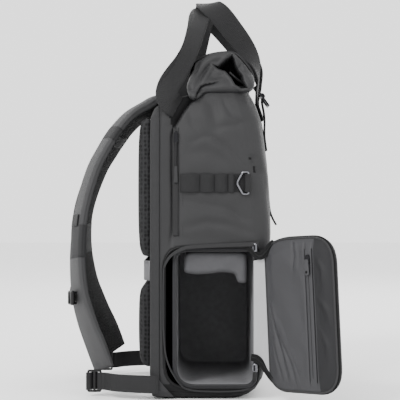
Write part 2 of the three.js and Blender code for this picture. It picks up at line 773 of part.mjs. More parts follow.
function makeSternum() {
  const faces = [-1, 1].map((side) => strapFace(sternumHeight, side));
  const reach = faces[0].place.x - sternumSliderWall - sternumTapeWall;
  ['left', 'right'].forEach((label, k) => {
    const side = k === 0 ? -1 : 1;
    const { place } = faces[k];
    const nearEdge = strapTapeWidth * 0.45;
    const slider = rectangle(-sternumTapeWidth * 0.45, sternumTapeWidth * 0.45, 0, sternumSliderWall, 2);
    const body = slab(slider, sternumTapeWidth, 1.5);
    body.rotateZ(Math.PI / 2);
    body.rotateZ(-side * strapRoll * radians);
    body.translate(place.x - 4 * gap, place.y, sternumHeight - sternumTapeWidth / 2);
    piece(`sternum_slider_${label}`, 'plastic', body);
    const outer = place.y + side * nearEdge;
    const inner = side * (sternumBuckleLength / 2 + gap);
    const route = [[reach - sternumTapeWall, outer], [reach - sternumTapeWall * 1.4, (outer + inner) / 2],
      [reach - sternumTapeWall * 0.6, inner]];
    const tape = slab(stripShape(curved(route, 4), sternumTapeWall), sternumTapeWidth * 0.8, 0, 1);
    piece(`sternum_webbing_${label}`, 'webbing', tape.translate(0, 0, sternumHeight - sternumTapeWidth * 0.4));
  });
  const buckle = rectangle(-sternumBuckleLength / 2, sternumBuckleLength / 2, -sternumTapeWidth * 0.6,
    sternumTapeWidth * 0.6, sternumTapeWidth * 0.3);
  const body = slab(buckle, sternumBuckleWall, 2).rotateX(Math.PI / 2).rotateZ(Math.PI / 2);
  piece('sternum_buckle', 'plastic', body.translate(reach - sternumBuckleWall / 2, 0, sternumHeight));
}

// Tab of doubled cloth on each lower rear corner.
function makeWingTab(label, side) {
  const outline = roundedShape([
    [-tabRear, baseHeight * 0.3, 2], [-tabRear + tabLength * 0.85, baseHeight * 0.3, 2],
    [-tabRear + tabLength * 0.5, tabHeight * 0.5, 3], [-tabRear + tabLength * 0.15, tabHeight, 2],
    [-tabRear, tabHeight, 1],
  ]);
  piece(`wing_tab_${label}`, 'twill', geometryOf(overBody(tabWall).intersect(throughSide(outline, side))));
}

// Half outline of a back pad's section from the middle of its flat face: out is a share of padWall, across
// of half of padWidth outside the channel. In the channel, across is a share of half of padChannel.
const padRows = [
  { out: 0, across: 0.97 },
  { out: 0.35, across: 1 },
  { out: 0.75, across: 0.975 },
  { out: 1, across: 0.9 },
  { out: 1, across: 0.5 },
];
const padEnds = [
  { up: 0, thick: 0.35, wide: 0.9 },
  { up: 0.3, thick: 0.8, wide: 0.96 },
  { up: 1, thick: 1, wide: 1 },
];

// A back pad with round ends and an air channel down its middle, lying on the harness face.
function padSkin(face, low, height) {
  const groove = padChannel / 2;
  const edge = (thick, wide) => [
    ...padRows.map(({ out, across }) => [out * padWall * thick, (across * padWidth * wide) / 2]),
    [padWall * thick, groove],
    [Math.max(padWall * thick - padChannelDepth, padWall * 0.2), groove * 0.5],
  ];
  const turnedEnds = padEnds.map((end) => ({ ...end, height: low + end.up * padWall }));
  const upperEnds = turnedEnds.map((end) => ({ ...end, height: 2 * low + height - end.height })).reverse();
  const ends = [...turnedEnds, ...upperEnds];
  return skin(ends.map(({ thick, wide, height: level }) => {
    const side = edge(thick, wide).map(([out, across]) => at(face - out, -across, level));
    const other = side.map((point) => at(point.x, -point.y, level)).reverse();
    return [at(face, 0, level), ...side, ...other];
  }));
}

function makeBackPads() {
  const half = padWidth / 2;
  const face = -harnessReach - gap;
  piece('back_pad_upper', 'mesh', padSkin(face, upperPadLow, upperPadHeight));
  piece('back_pad_lower', 'mesh', padSkin(face, lowerPadLow, lowerPadHeight));
  const low = lowerPadLow + lowerPadHeight + (upperPadLow - lowerPadLow - lowerPadHeight) / 2;
  const stand = face - luggageBandStand;
  const wide = half * 0.94;
  const route = [
    [face - luggageBandWall / 2, -half], [face - luggageBandWall / 2, -wide], [stand, -wide * 0.9],
    [stand, 0], [stand, wide * 0.9], [face - luggageBandWall / 2, wide], [face - luggageBandWall / 2, half],
  ];
  const band = slab(stripShape(route, luggageBandWall), luggageBandWidth, 0, 1);
  piece('luggage_band', 'lining', band.translate(0, 0, low - luggageBandWidth / 2));
}

// Row of webbing loops on the side, folded at its front end round the bar of the ring.
const tapeFace = -bodyAt(sideTapeMiddle - sideTapeWidth / 2).half - gap - sideTapeWall / 2;
const ringOut = sideTapeWall / 2 + ringClearance + ringWire / 2; // middle of the tape to the ring's bar

// Stitched places along the tape, as shares from its rear end to the ring's axis.
const tapeStitches = [0, 0.285, 0.5, 0.7, 0.8];

function makeSideTape() {
  const place = (share) => -sideTapeRear + share * (ringAxis + sideTapeRear);
  const route = [[place(0), 0]];
  tapeStitches.slice(1).forEach((share, k) => {
    const before = tapeStitches[k];
    for (const part of [0.2, 0.5, 0.8]) {
      route.push([place(before + (share - before) * part), sideTapeBulge * (part === 0.5 ? 1 : 0.75)]);
    }
    route.push([place(share), 0]);
  });
  for (let angle = -90; angle <= 90; angle += 30) {
    route.push([ringAxis + ringOut * Math.cos(angle * radians), ringOut * (1 + Math.sin(angle * radians))]);
  }
  const stitched = ringAxis - ringShoulder + 1.6 * sideTapeWall;
  route.push([stitched + sideTapeWall, ringOut * 1.7], [stitched, sideTapeWall + gap]);
  const strip = stripShape(route.map(([x, out]) => [x, tapeFace - out]), sideTapeWall);
  const tape = slab(strip, sideTapeWidth, 0, 1);
  piece('side_webbing', 'webbing', tape.translate(0, 0, sideTapeMiddle - sideTapeWidth / 2));
}

const ringPlace = at(ringAxis, tapeFace - ringOut, sideTapeMiddle);

// D-ring: straight bar on the axis, two arms and a pointed tip towards the rear.
function makeRing() {
  const half = sideTapeWidth / 2 + ringSlack + ringWire / 2;
  const outline = roundedShape([
    [0, -half, ringWire * 0.8], [0, half, ringWire * 0.8], [-ringShoulder, half, ringWire * 0.6],
    [-ringReach, 0, ringWire * 1.2], [-ringShoulder, -half, ringWire * 0.6],
  ]);
  const line = outline.getPoints(3).slice(0, -1);
  const rings = line.map((point, k) => {
    const before = line[(k + line.length - 1) % line.length];
    const after = line[(k + 1) % line.length];
    const along = after.clone().sub(before).normalize();
    const ring = [];
    for (let step = 0; step < 8; step += 1) {
      const angle = (step / 8) * 360 * radians;
      const sideways = (ringWire / 2) * Math.cos(angle);
      ring.push(at(point.x - along.y * sideways, (ringWire / 2) * Math.sin(angle), point.y + along.x * sideways));
    }
    return ring;
  });
  piece('d_ring', 'metal', skin(rings, true)).position.copy(ringPlace);
}

// Short zip beside the valley, lying on the body's cloth, and its pull.
function makeSideZip() {
  const rear = -sideZipRear;
  const sideZipLow = openingLow + openingHeight + sideZipUp;
  const strip = rectangle(rear, rear + zipWidth, sideZipLow, sideZipLow + sideZipLength, zipWidth * 0.2);
  piece('side_zip', 'baseCloth', geometryOf(overBody(zipWall).intersect(throughSide(strip, -1))));
  const top = sideZipLow + sideZipLength;
  const middle = rear + zipWidth / 2;
  const face = -bodyAt(top - 8 * pullWidth).half - 2 * gap - zipWall;
  const upright = (half, low, high, corner) => (
    rectangle(middle - half, middle + half, top - low * pullWidth, top - high * pullWidth, corner)
  );
  const slider = upright(pullWidth * 0.7, 4.2, 1, pullWidth * 0.4);
  const tab = upright(pullWidth / 2, 15, 11, pullWidth * 0.3);
  const cord = upright(pullWall / 2, 11.2, 4, 0);
  const whole = [slider, tab, cord].map((shape) => solidOf(sideSlab(shape, face, pullWall)));
  piece('side_zip_pull', 'plastic', geometryOf(whole[0].add(whole[1]).add(whole[2])));
}

// Front strap: up the front face, round the middle bar of the hook and back down over itself.
// Stand is how far the strap stands off the front face; up is a share of bagHeight.
const closureRows = [
  { up: 0.56, stand: 9 },
  { up: 0.59, stand: 3 },
  { up: 0.625, stand: 0 },
  { up: 0.72, stand: 0 },
  { up: 0.81, stand: 0 },
  { up: 0.88, stand: 1 },
];

function makeClosure() {
  const lying = gap + closureTapeWall / 2;
  const rise = closureRows.map(({ up, stand }) => (
    [bodyAt(up * bagHeight).front + frontCrown + 2 * gap + lying + stand, up * bagHeight]
  ));
  const lean = hookLean * radians;
  const along = [Math.sin(lean), -Math.cos(lean)];
  const out = [Math.cos(lean), Math.sin(lean)];
  const last = rise[rise.length - 1];
  const bar = [rollDepth - rollBack + hookStand, rollFloor - hookDrop];
  const round = hookWall / 2 + gap * 2 + closureTapeWall / 2 + 0.6;
  const spot = (a, b) => [bar[0] + along[0] * a + out[0] * b, bar[1] + along[1] * a + out[1] * b];
  const strap = [
    ...rise,
    [(last[0] + bar[0]) / 2 - round * 1.1, (last[1] + bar[1]) / 2],
    spot(round * 0.6, -round * 2.1),
    spot(-round * 0.5, -round * 1.3),
    spot(-round, 0),
    spot(-round * 0.6, round * 0.9),
    spot(round * 0.6, round * 0.9),
    spot(round, 0),
    spot(round * 1.6, -round),
    [(last[0] + bar[0]) / 2 + round, (last[1] + bar[1]) / 2 - round],
    [last[0] + closureTapeWall + 3 * gap, last[1] - round],
    [rise[4][0] + closureTapeWall + 2 * gap, rise[4][1] + round],
  ];
  const tape = stripShape(curved(strap, 3), closureTapeWall);
  piece('closure_strap', 'webbing', sideSlab(tape, closureTapeWidth / 2, closureTapeWidth, 0, 1));
  const plate = rectangle(-hookWidth / 2, hookWidth / 2, -hookLength / 2, hookLength / 2, hookWall);
  const inner = closureTapeWidth / 2 + 2 * gap;
  let cut = solidOf(slab(plate, hookWall, 0, 2).translate(0, 0, -hookWall / 2));
  const halfBar = hookWall * 0.6;
  const slotEnd = hookLength / 2 - hookWall;
  for (const [near, far] of [[-slotEnd, -halfBar], [halfBar, slotEnd]]) {
    cut = cut.subtract(boxSolid(-inner, inner, near, far, -hookWall, hookWall));
  }
  const hook = geometryOf(cut).rotateX(Math.PI / 2).rotateZ(Math.PI / 2).rotateY(-lean);
  piece('closure_hook', 'metal', hook.translate(bar[0], 0, bar[1]));
}

makeShell();
makeCube();
makeBinding();
makeDoor();
makeGusset();
makeRoll();
makeHandle('handle_rear', handleRows.rear);
makeHandle('handle_front', handleRows.front);
makeBackPads();
makeSideTape();
makeRing();
makeSideZip();
makeClosure();
makeSternum();
for (const [label, side] of [['left', -1], ['right', 1]]) {
  makeStrap(label, side);
  makeStrapTab(label, side);
  makeLowerEnd(label, side);
  makeWingTab(label, side);
}

export default bag;
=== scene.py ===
# Camera backpack with a rolled top, its side door open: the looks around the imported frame.
# Shapes are worked out in millimetres and scaled to metres when a piece is made.
import math

import bpy
import numpy as np
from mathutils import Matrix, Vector


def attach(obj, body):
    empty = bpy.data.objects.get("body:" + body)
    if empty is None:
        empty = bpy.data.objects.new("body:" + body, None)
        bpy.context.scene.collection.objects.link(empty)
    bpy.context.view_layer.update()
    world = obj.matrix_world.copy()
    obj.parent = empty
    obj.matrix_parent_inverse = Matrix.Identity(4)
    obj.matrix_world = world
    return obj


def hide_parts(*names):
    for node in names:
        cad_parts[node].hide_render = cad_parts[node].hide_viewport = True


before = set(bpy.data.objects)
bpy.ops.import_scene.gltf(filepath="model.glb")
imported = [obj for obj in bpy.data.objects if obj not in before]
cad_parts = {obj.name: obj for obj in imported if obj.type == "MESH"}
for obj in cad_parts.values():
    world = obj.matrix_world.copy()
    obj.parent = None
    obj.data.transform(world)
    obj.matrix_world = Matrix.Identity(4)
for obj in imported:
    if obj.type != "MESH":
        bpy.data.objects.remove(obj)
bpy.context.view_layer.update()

toMetres = 0.001
bodyName = "bag"
leftward, upward, forward = np.array([[0.0, -1.0, 0.0], [0.0, 0.0, 1.0], [1.0, 0.0, 0.0]])


# Eased step from 0 to 1 between two values: t * t * (3 - 2 t).
def ease(value, start, end):
    part = np.clip((value - start) / (end - start), 0, 1)
    return part * part * (3 - 2 * part)


# Bell of height 1 round zero: exp of minus the square of distance over width.
def bell(distance, width):
    return np.exp(-(distance / width) ** 2)


# Smooth noise from -1 to 1: random lattice values blended with an eased step on both axes.
def lattice(u, v, cell, seed):
    values = np.random.default_rng(seed).uniform(-1, 1, (64, 64))
    x = np.asarray(u, float) / cell
    y = np.asarray(v, float) / cell
    column, row = np.floor(x).astype(int), np.floor(y).astype(int)
    a, b = ease(x - column, 0, 1), ease(y - row, 0, 1)
    near, far = column % 64, (column + 1) % 64
    low, high = row % 64, (row + 1) % 64
    bottom = values[low, near] * (1 - a) + values[low, far] * a
    top = values[high, near] * (1 - a) + values[high, far] * a
    return bottom * (1 - b) + top * b


# Catmull-Rom points through the rows of a table, with the same number of steps between each two.
def through(rows, steps):
    rows = np.asarray(rows, float)
    ends = np.vstack([2 * rows[0] - rows[1], rows, 2 * rows[-1] - rows[-2]])
    t = (np.arange(steps) / steps)[:, None]
    spans = [
        0.5 * (2 * b + (c - a) * t + (2 * a - 5 * b + 4 * c - d) * t**2
               + (3 * b - a - 3 * c + d) * t**3)
        for a, b, c, d in zip(ends, ends[1:], ends[2:], ends[3:])
    ]
    return np.vstack(spans + [rows[-1:]])


# The same path with points an even length apart.
def evenly(path, count):
    lengths = np.r_[0, np.cumsum(np.linalg.norm(np.diff(path, axis=0), axis=1))]
    wanted = np.linspace(0, lengths[-1], count)
    return np.column_stack([np.interp(wanted, lengths, axis) for axis in np.asarray(path).T])


# Vectors over their own length, so that each is 1 long.
def unit(vectors):
    return vectors / np.maximum(np.linalg.norm(vectors, axis=-1, keepdims=True), 1e-9)


# Section carried along a path: middle + a * across + b * normal, where normal is tangent x across.
def sweep(path, across, section, wide=1.0, thick=1.0):
    tangent = unit(np.gradient(path, axis=0))
    across = np.broadcast_to(across, path.shape)
    across = across - tangent * np.sum(across * tangent, axis=1, keepdims=True)
    across = unit(across)
    normal = np.cross(tangent, across)
    wide = np.broadcast_to(wide, len(path))[:, None, None]
    thick = np.broadcast_to(thick, len(path))[:, None, None]
    sideways = across[:, None] * section[None, :, :1] * wide
    outward = normal[:, None] * section[None, :, 1:] * thick
    return path[:, None] + sideways + outward


# Distance from points to a line of points, and the share of the line's length where it is least.
def distanceTo(x, z, line):
    line = np.asarray(line, float)
    best = np.full(np.shape(x), 1e9)
    place = np.zeros(np.shape(x))
    for k, (start, end) in enumerate(zip(line, line[1:])):
        span = end - start
        part = ((x - start[0]) * span[0] + (z - start[1]) * span[1]) / (span @ span)
        part = np.clip(part, 0, 1)
        reach = np.hypot(x - start[0] - part * span[0], z - start[1] - part * span[1])
        place = np.where(reach < best, (k + part) / (len(line) - 1), place)
        best = np.minimum(best, reach)
    return best, place


# Rectangle's outline with rounded corners, points evenly spaced. Corners are x, y and radius.
def roundedLine(corners, count):
    corners = np.asarray(corners, float)
    points = []
    for k, (x, y, radius) in enumerate(corners):
        here = np.array([x, y])
        before = unit(corners[k - 1, :2] - here) * radius + here
        after = unit(corners[(k + 1) % len(corners), :2] - here) * radius + here
        t = np.linspace(0, 1, 11)[:, None]
        points.append(before * (1 - t) ** 2 + 2 * here * t * (1 - t) + after * t**2)
    line = np.vstack(points)
    return evenly(np.vstack([line, line[:1]]), count + 1)[:-1]


# Signed distance to a rounded outline in a plane: below zero inside. Crossings of a ray decide the sign.
def signedDistance(x, z, outline):
    closed = np.vstack([outline, outline[:1]])
    reach, _ = distanceTo(x, z, closed)
    inside = np.zeros(np.shape(x), bool)
    for (x0, z0), (x1, z1) in zip(closed, closed[1:]):
        if z0 == z1:
            continue
        crosses = (z0 > z) != (z1 > z)
        inside ^= crosses & (x < (x1 - x0) * (z - z0) / (z1 - z0) + x0)
    return np.where(inside, -reach, reach)


# Linear colour of an sRGB hex code: v / 12.92 below 0.04045, else ((v + 0.055) / 1.055) ^ 2.4.
def linear(code):
    channels = [int(code[k:k + 2], 16) / 255 for k in (0, 2, 4)]
    return [v / 12.92 if v <= 0.04045 else ((v + 0.055) / 1.055) ** 2.4 for v in channels] + [1]


# Adds a shader node. An input given as a socket is linked, and any other is set.
def addNode(tree, kind, inputs=None, **settings):
    node = tree.nodes.new(kind)
    for key, value in settings.items():
        setattr(node, key, value)
    for key, value in (inputs or {}).items():
        if isinstance(value, bpy.types.NodeSocket):
            tree.links.new(value, node.inputs[key])
        else:
            node.inputs[key].default_value = value
    return node


# Surface with one colour, mottled a little by noise, and a fine relief.
# Relief is a list of (kind, pitch in mm, share): weave is the product of two waves, rib is one wave along
# the piece, cells is a mesh of round holes, and grain is noise. Holes is the pitch in mm of holes that darken
# the colour, as in a mesh.
def makeMaterial(name, colour, roughness, relief=(), depth=0.1, mottle=0.08, patch=30, holes=0, **sockets):
    material = bpy.data.materials.new(name)
    material.use_nodes = True
    tree = material.node_tree
    shader = tree.nodes["Principled BSDF"]
    shader.inputs["Roughness"].default_value = roughness
    shader.inputs["Specular IOR Level"].default_value = 0.25
    for key, value in sockets.items():
        shader.inputs[key].default_value = value
    base = linear(colour)
    place = addNode(tree, "ShaderNodeTexCoord")
    if mottle:
        spots = addNode(tree, "ShaderNodeTexNoise", {
            "Vector": place.outputs["Object"], "Scale": 1 / (patch * toMetres), "Detail": 3.0,
        })
        dark = [value * (1 - mottle) for value in base[:3]] + [1]
        light = [value * (1 + mottle) for value in base[:3]] + [1]
        blend = addNode(tree, "ShaderNodeMix", {6: dark, 7: light, 0: spots.outputs["Fac"]}, data_type="RGBA")
        tree.links.new(blend.outputs[2], shader.inputs["Base Color"])
    else:
        shader.inputs["Base Color"].default_value = base
    if holes:
        cells = addNode(tree, "ShaderNodeTexVoronoi", {
            "Vector": place.outputs["Object"], "Scale": 1 / (holes * toMetres), "Randomness": 0.35})
        ring = addNode(tree, "ShaderNodeMapRange", {
            0: cells.outputs["Distance"], 1: 0.2, 2: 0.55, 3: 0.12, 4: 1.5})
        shade = addNode(tree, "ShaderNodeMix", {0: 1.0, 6: base, 7: ring.outputs[0]}, data_type="RGBA",
                        blend_type="MULTIPLY")
        tree.links.new(shade.outputs[2], shader.inputs["Base Color"])
    height = None
    for kind, pitch, share in relief:
        scale = 1 / (pitch * toMetres)
        if kind in ("weave", "rib"):
            split = addNode(tree, "ShaderNodeSeparateXYZ", {0: place.outputs["UV"]})
            waves = []
            for axis in (["X", "Y"] if kind == "weave" else ["X"]):
                turn = addNode(tree, "ShaderNodeMath", {
                    0: split.outputs[axis], 1: 2 * math.pi * scale}, operation="MULTIPLY")
                waves.append(addNode(tree, "ShaderNodeMath", {0: turn.outputs[0]}, operation="SINE").outputs[0])
            value = waves[0]
            if kind == "weave":
                value = addNode(tree, "ShaderNodeMath", {0: waves[0], 1: waves[1]}, operation="MULTIPLY").outputs[0]
        elif kind == "cells":
            value = addNode(tree, "ShaderNodeTexVoronoi", {
                "Vector": place.outputs["UV"], "Scale": scale, "Randomness": 0.25}).outputs["Distance"]
        else:
            value = addNode(tree, "ShaderNodeTexNoise", {
                "Vector": place.outputs["Object"], "Scale": scale, "Detail": 4.0}).outputs["Fac"]
        part = addNode(tree, "ShaderNodeMath", {0: value, 1: share}, operation="MULTIPLY").outputs[0]
        if height is None:
            height = part
        else:
            height = addNode(tree, "ShaderNodeMath", {0: height, 1: part}, operation="ADD").outputs[0]
    if height is not None:
        bump = addNode(tree, "ShaderNodeBump", {
            "Height": height, "Distance": depth * toMetres, "Strength": 1.0})
        tree.links.new(bump.outputs["Normal"], shader.inputs["Normal"])
    return material


# Tarpaulin: coated cloth, charcoal, with a low sheen and a fine grain.
tarpaulin = makeMaterial("tarpaulin", "202021", 0.52, [("weave", 0.9, 0.4), ("grain", 1.4, 0.9)], 0.12)
# Twill: matt cloth with a slanting rib, darker than the tarpaulin.
twill = makeMaterial("twill", "29292a", 0.8, [("weave", 1.1, 0.9), ("grain", 2.2, 0.6)], 0.25, 0.14, 6)
# Base cloth: nearly black, matt.
baseCloth = makeMaterial("baseCloth", "070708", 0.7, [("weave", 1.0, 0.8)], 0.2)
# Webbing: dense ribs across the tape, dark grey and matt.
webbing = makeMaterial("webbing", "1a1a1b", 0.72, [("weave", 1.3, 1.0), ("grain", 3.0, 0.3)], 0.22, 0.1, 8)
# Air mesh: small holes over foam, so that it looks speckled and takes little light.
airMesh = makeMaterial("airMesh", "121213", 0.9, [("cells", 3.2, 1.6)], 0.9, 0.0, holes=4.5)
# Lining: thin nylon with a soft satin sheen.
lining = makeMaterial("lining", "313133", 0.48, [("weave", 0.8, 0.5)], 0.08, 0.06, 20)
# The same lining, darker: painted shade on the door beyond the pocket, and the dark colour of the pocket's zip tape.
liningPaintedShadeAndTape = makeMaterial("liningPaintedShadeAndTape", "151517", 0.5, [("weave", 0.8, 0.5)], 0.08, 0.06, 20)
# Pale lining: light grey nylon.
paleLining = makeMaterial("paleLining", "98989a", 0.6, [("weave", 0.8, 0.5)], 0.08, 0.05, 25)
# Brushed cloth over foam: fuzzy and matt, mid grey.
brushed = makeMaterial("brushed", "424244", 0.95, [("grain", 0.8, 1.0)], 0.3, 0.1, 4)
# Dark brushed cloth of the box.
darkBrushed = makeMaterial("darkBrushed", "28282a", 0.9, [("grain", 0.8, 1.0)], 0.3, 0.2, 8)
# Woven band, light grey.
paleBand = makeMaterial("paleBand", "6c6c6e", 0.8, [("weave", 1.4, 1.0)], 0.25)
# Binding tape: mid grey twill, folded over the edges.
bindingCloth = makeMaterial("bindingCloth", "29292a", 0.65, [("weave", 0.9, 0.8)], 0.15)
# Moulded plastic: black with a slight shine.
plastic = makeMaterial("plastic", "0b0b0c", 0.38, [("grain", 0.6, 0.4)], 0.03, 0.0)
# Dark painted metal: smooth, and picks up the lights.
darkMetal = makeMaterial("darkMetal", "262628", 0.28, mottle=0.0, Metallic=1.0)
# Bright worn metal of the ring and sliders.
brightMetal = makeMaterial("brightMetal", "66666a", 0.24, mottle=0.0, Metallic=1.0)
# Thread: slightly lighter than the cloth that it sews.
thread = makeMaterial("thread", "343436", 0.7, mottle=0.0)
# Near-black: the colour of dark thread in bar tacks and seam stitches, and painted shade in the tuck, the slit, the
# pocket's welts, the pull's hole, the side zip's groove and the roll's open mouth.
darkThreadAndPaintedShade = makeMaterial("darkThreadAndPaintedShade", "050506", 0.9, mottle=0.0)
print("materials made")


# Object from points in mm and faces, with UVs in metres per corner where given.
def makePiece(name, points, faces, material, uv=None, smooth=True, body=bodyName):
    mesh = bpy.data.meshes.new(name)
    mesh.from_pydata((np.asarray(points, float) * toMetres).tolist(), [], [list(face) for face in faces])
    mesh.update()
    if uv is not None:
        corners = np.zeros(len(mesh.loops), int)
        mesh.loops.foreach_get("vertex_index", corners)
        layer = mesh.uv_layers.new(name="UVMap")
        layer.data.foreach_set("uv", (np.asarray(uv)[corners] * toMetres).ravel())
    mesh.polygons.foreach_set("use_smooth", [smooth] * len(mesh.polygons))
    for each in material if isinstance(material, (list, tuple)) else [material]:
        mesh.materials.append(each)
    thing = bpy.data.objects.new(name, mesh)
    bpy.context.scene.collection.objects.link(thing)
    if body:
        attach(thing, body)
    return thing


# Faces of a grid of rows and columns, with the columns or the rows joined into a loop where asked.
def gridFaces(rows, columns, loopRows=False, loopColumns=False):
    r = np.arange(rows if loopRows else rows - 1)
    c = np.arange(columns if loopColumns else columns - 1)
    r, c = [axis.ravel() for axis in np.meshgrid(r, c, indexing="ij")]
    down, beside = (r + 1) % rows, (c + 1) % columns
    return np.column_stack([r * columns + c, r * columns + beside, down * columns + beside, down * columns + c])


# UVs of a grid: the length along its rows and along its columns, in mm, from the middle row and column.
def gridLengths(grid):
    downward = np.linalg.norm(np.diff(grid, axis=0), axis=2).mean(axis=1)
    sideways = np.linalg.norm(np.diff(grid, axis=1), axis=2).mean(axis=0)
    u, v = np.meshgrid(np.r_[0, np.cumsum(downward)], np.r_[0, np.cumsum(sideways)], indexing="ij")
    return np.column_stack([u.ravel(), v.ravel()])


# Turns all the faces outwards if the closed piece's volume is below zero.
def facingOut(points, faces):
    points = np.asarray(points, float)
    volume = 0.0
    for face in faces:
        corner = points[list(face)]
        volume += np.einsum("i,i->", corner[0], np.cross(corner[1:-1], corner[2:]).sum(axis=0))
    return faces if volume > 0 else [list(face)[::-1] for face in faces]


# Closed piece from a swept grid: its columns loop round the section, and both ends are capped.
def sweptPiece(name, grid, material, **settings):
    rows, columns = grid.shape[:2]
    faces = [list(face) for face in gridFaces(rows, columns, loopColumns=True)]
    faces += [list(range(columns))[::-1], list(range((rows - 1) * columns, rows * columns))]
    points = grid.reshape(-1, 3)
    return makePiece(name, points, facingOut(points, faces), material, gridLengths(grid), **settings)


# Ring piece: a swept grid whose rows and columns both loop.
def ringPiece(name, grid, material, **settings):
    faces = [list(face) for face in gridFaces(*grid.shape[:2], loopRows=True, loopColumns=True)]
    points = grid.reshape(-1, 3)
    return makePiece(name, points, facingOut(points, faces), material, gridLengths(grid), **settings)


# Flat section with rounded edges: a stadium, width by wall.
def tapeSection(width, wall, across=6):
    flat = width / 2 - wall / 2
    turn = np.linspace(-90, 90, 5) * math.pi / 180
    right = np.column_stack([flat + wall / 2 * np.cos(turn), wall / 2 * np.sin(turn)])
    top = np.column_stack([np.linspace(flat, -flat, across + 1)[1:-1], np.full(across - 1, wall / 2)])
    half = np.vstack([right, top])
    return np.vstack([half, -half])


# Round section: radius times cos and sin of even steps of the turn.
def roundSection(radius, sides=8):
    turn = np.arange(sides) / sides * 2 * math.pi
    return np.column_stack([radius * np.cos(turn), radius * np.sin(turn)])


# Row of stitches as short rounded threads along a path on a surface: each lies half its pitch long.
def stitches(name, path, outward, pitch, length, radius, material):
    path = np.asarray(path, float)
    total = np.linalg.norm(np.diff(path, axis=0), axis=1).sum()
    count = max(2, int(total / pitch))
    middles = evenly(path, count)
    along = unit(np.gradient(middles, axis=0))
    outward = np.broadcast_to(np.asarray(outward, float), middles.shape)
    side = unit(np.cross(along, outward))
    points, faces = [], []
    shape = np.array([(-0.5, 0, -0.3), (-0.3, 0.7, 0.6), (-0.3, -0.7, 0.6), (0.3, 0.7, 0.6), (0.3, -0.7, 0.6),
                      (0.5, 0, -0.3)])
    links = [(0, 2, 1), (1, 2, 4, 3), (3, 4, 5), (0, 1, 3, 5), (0, 5, 4, 2)]
    for k in range(count):
        points.append(middles[k] + along[k] * shape[:, :1] * length + side[k] * shape[:, 1:2] * radius
                      + outward[k] * shape[:, 2:] * radius)
        faces += [[k * 6 + index for index in link] for link in links]
    return makePiece(name, np.vstack(points), faces, material, smooth=False)


# Gives a sheet its wall in mm: to its inner side where the offset is -1, and to both sides where it is 0.
def giveWall(thing, wall, offset=-1):
    solid = thing.modifiers.new("wall", "SOLIDIFY")
    solid.thickness = wall * toMetres
    solid.offset = offset


# Round wire along a closed path that lies in X and Z: middle + a * across + b * leftward.
def wireRing(path, radius, sides=8):
    along = unit(np.roll(path, -1, axis=0) - np.roll(path, 1, axis=0))
    across = unit(np.cross(along, leftward))
    section = roundSection(radius, sides)
    return path[:, None] + across[:, None] * section[None, :, :1] + leftward * section[None, :, 1:]


# Zip's coil along a path: its round section grows and shrinks as 1 + swell * sin(0.8 pi k) from step to step.
def coilPiece(name, path, across, radius, swell, place=None):
    grow = 1 + swell * np.sin(np.arange(len(path)) * math.pi * 0.8)
    grid = sweep(path, across, roundSection(radius, 6), grow, grow)
    sweptPiece(name, place(grid) if place else grid, plastic)


# The bag's own sizes in mm.
bag = {
    "height": 422, "half": 142, "front": 98, "back": 69, "crown": 5, "rearCorner": 12, "frontCorner": 24,
    "wall": 2.0, "seamX": -55, "twillX": -52, "baseHeight": 10.2, "sag": 1.6, "lowCloth": 21,
}
# Sections from the floor to the mouth: height, rear, front and half width as shares.
bodyTable = np.array([
    (0, 0.84, 0.58, 0.88), (0.01, 0.94, 0.68, 0.935), (0.028, 0.99, 0.78, 0.97), (0.065, 1, 0.88, 0.99),
    (0.13, 1, 0.945, 1), (0.26, 1, 0.99, 1), (0.4, 1, 1, 1), (0.52, 1, 0.995, 1), (0.65, 1, 0.97, 1),
    (0.775, 1, 0.925, 0.995), (0.85, 1, 0.885, 0.985), (0.915, 0.99, 0.84, 0.97), (0.95, 0.9, 0.79, 0.95),
    (0.975, 0.55, 0.74, 0.93), (1, 0.03, 0.69, 0.9), (1.0213, -0.06, 0.64, 0.87),
])


# Rear, front and half width at a height, between the rows of the table.
def bodyAt(height):
    share = np.asarray(height, float) / bag["height"]
    back, front, wide = [np.interp(share, bodyTable[:, 0], bodyTable[:, k]) for k in (1, 2, 3)]
    return -bag["back"] * back, bag["front"] * front, bag["half"] * wide


# Seam valley: rows of height and X. It runs up beside the zip and swings forward to the collar at the top.
valley = {
    "heights": [0, 150, 235, 360, 373, 384, 401, 413, 422], "places": [-46, -46, -38, -38, -35.5, -29, -18, -7, 2],
    "deep": 4.5, "wide": 1.8, "soft": 3.2, "softWide": 13, "tuck": 8.0, "tuckWide": 7,
}


# X of the valley at a height, straight between its rows.
def valleyLine(z):
    return np.interp(z, valley["heights"], valley["places"])


# How far the valley is sunk at a place on the side: a narrow bell in X, eased in with height. Above the zip
# it is a deeper tuck whose rear side is soft.
def valleyAt(x, z):
    away = x - valleyLine(z)
    fade = ease(z, 198, 236)
    tuck = np.where(away > 0, bell(away, 2.2), bell(away, valley["tuckWide"]))
    tuck = ease(z, 370, 386) * valley["tuck"] * tuck
    return fade * (valley["deep"] * bell(away, valley["wide"]) * ease(z, 388, 372)
                   + valley["soft"] * bell(away, valley["softWide"]) * ease(z, 400, 372)) + tuck


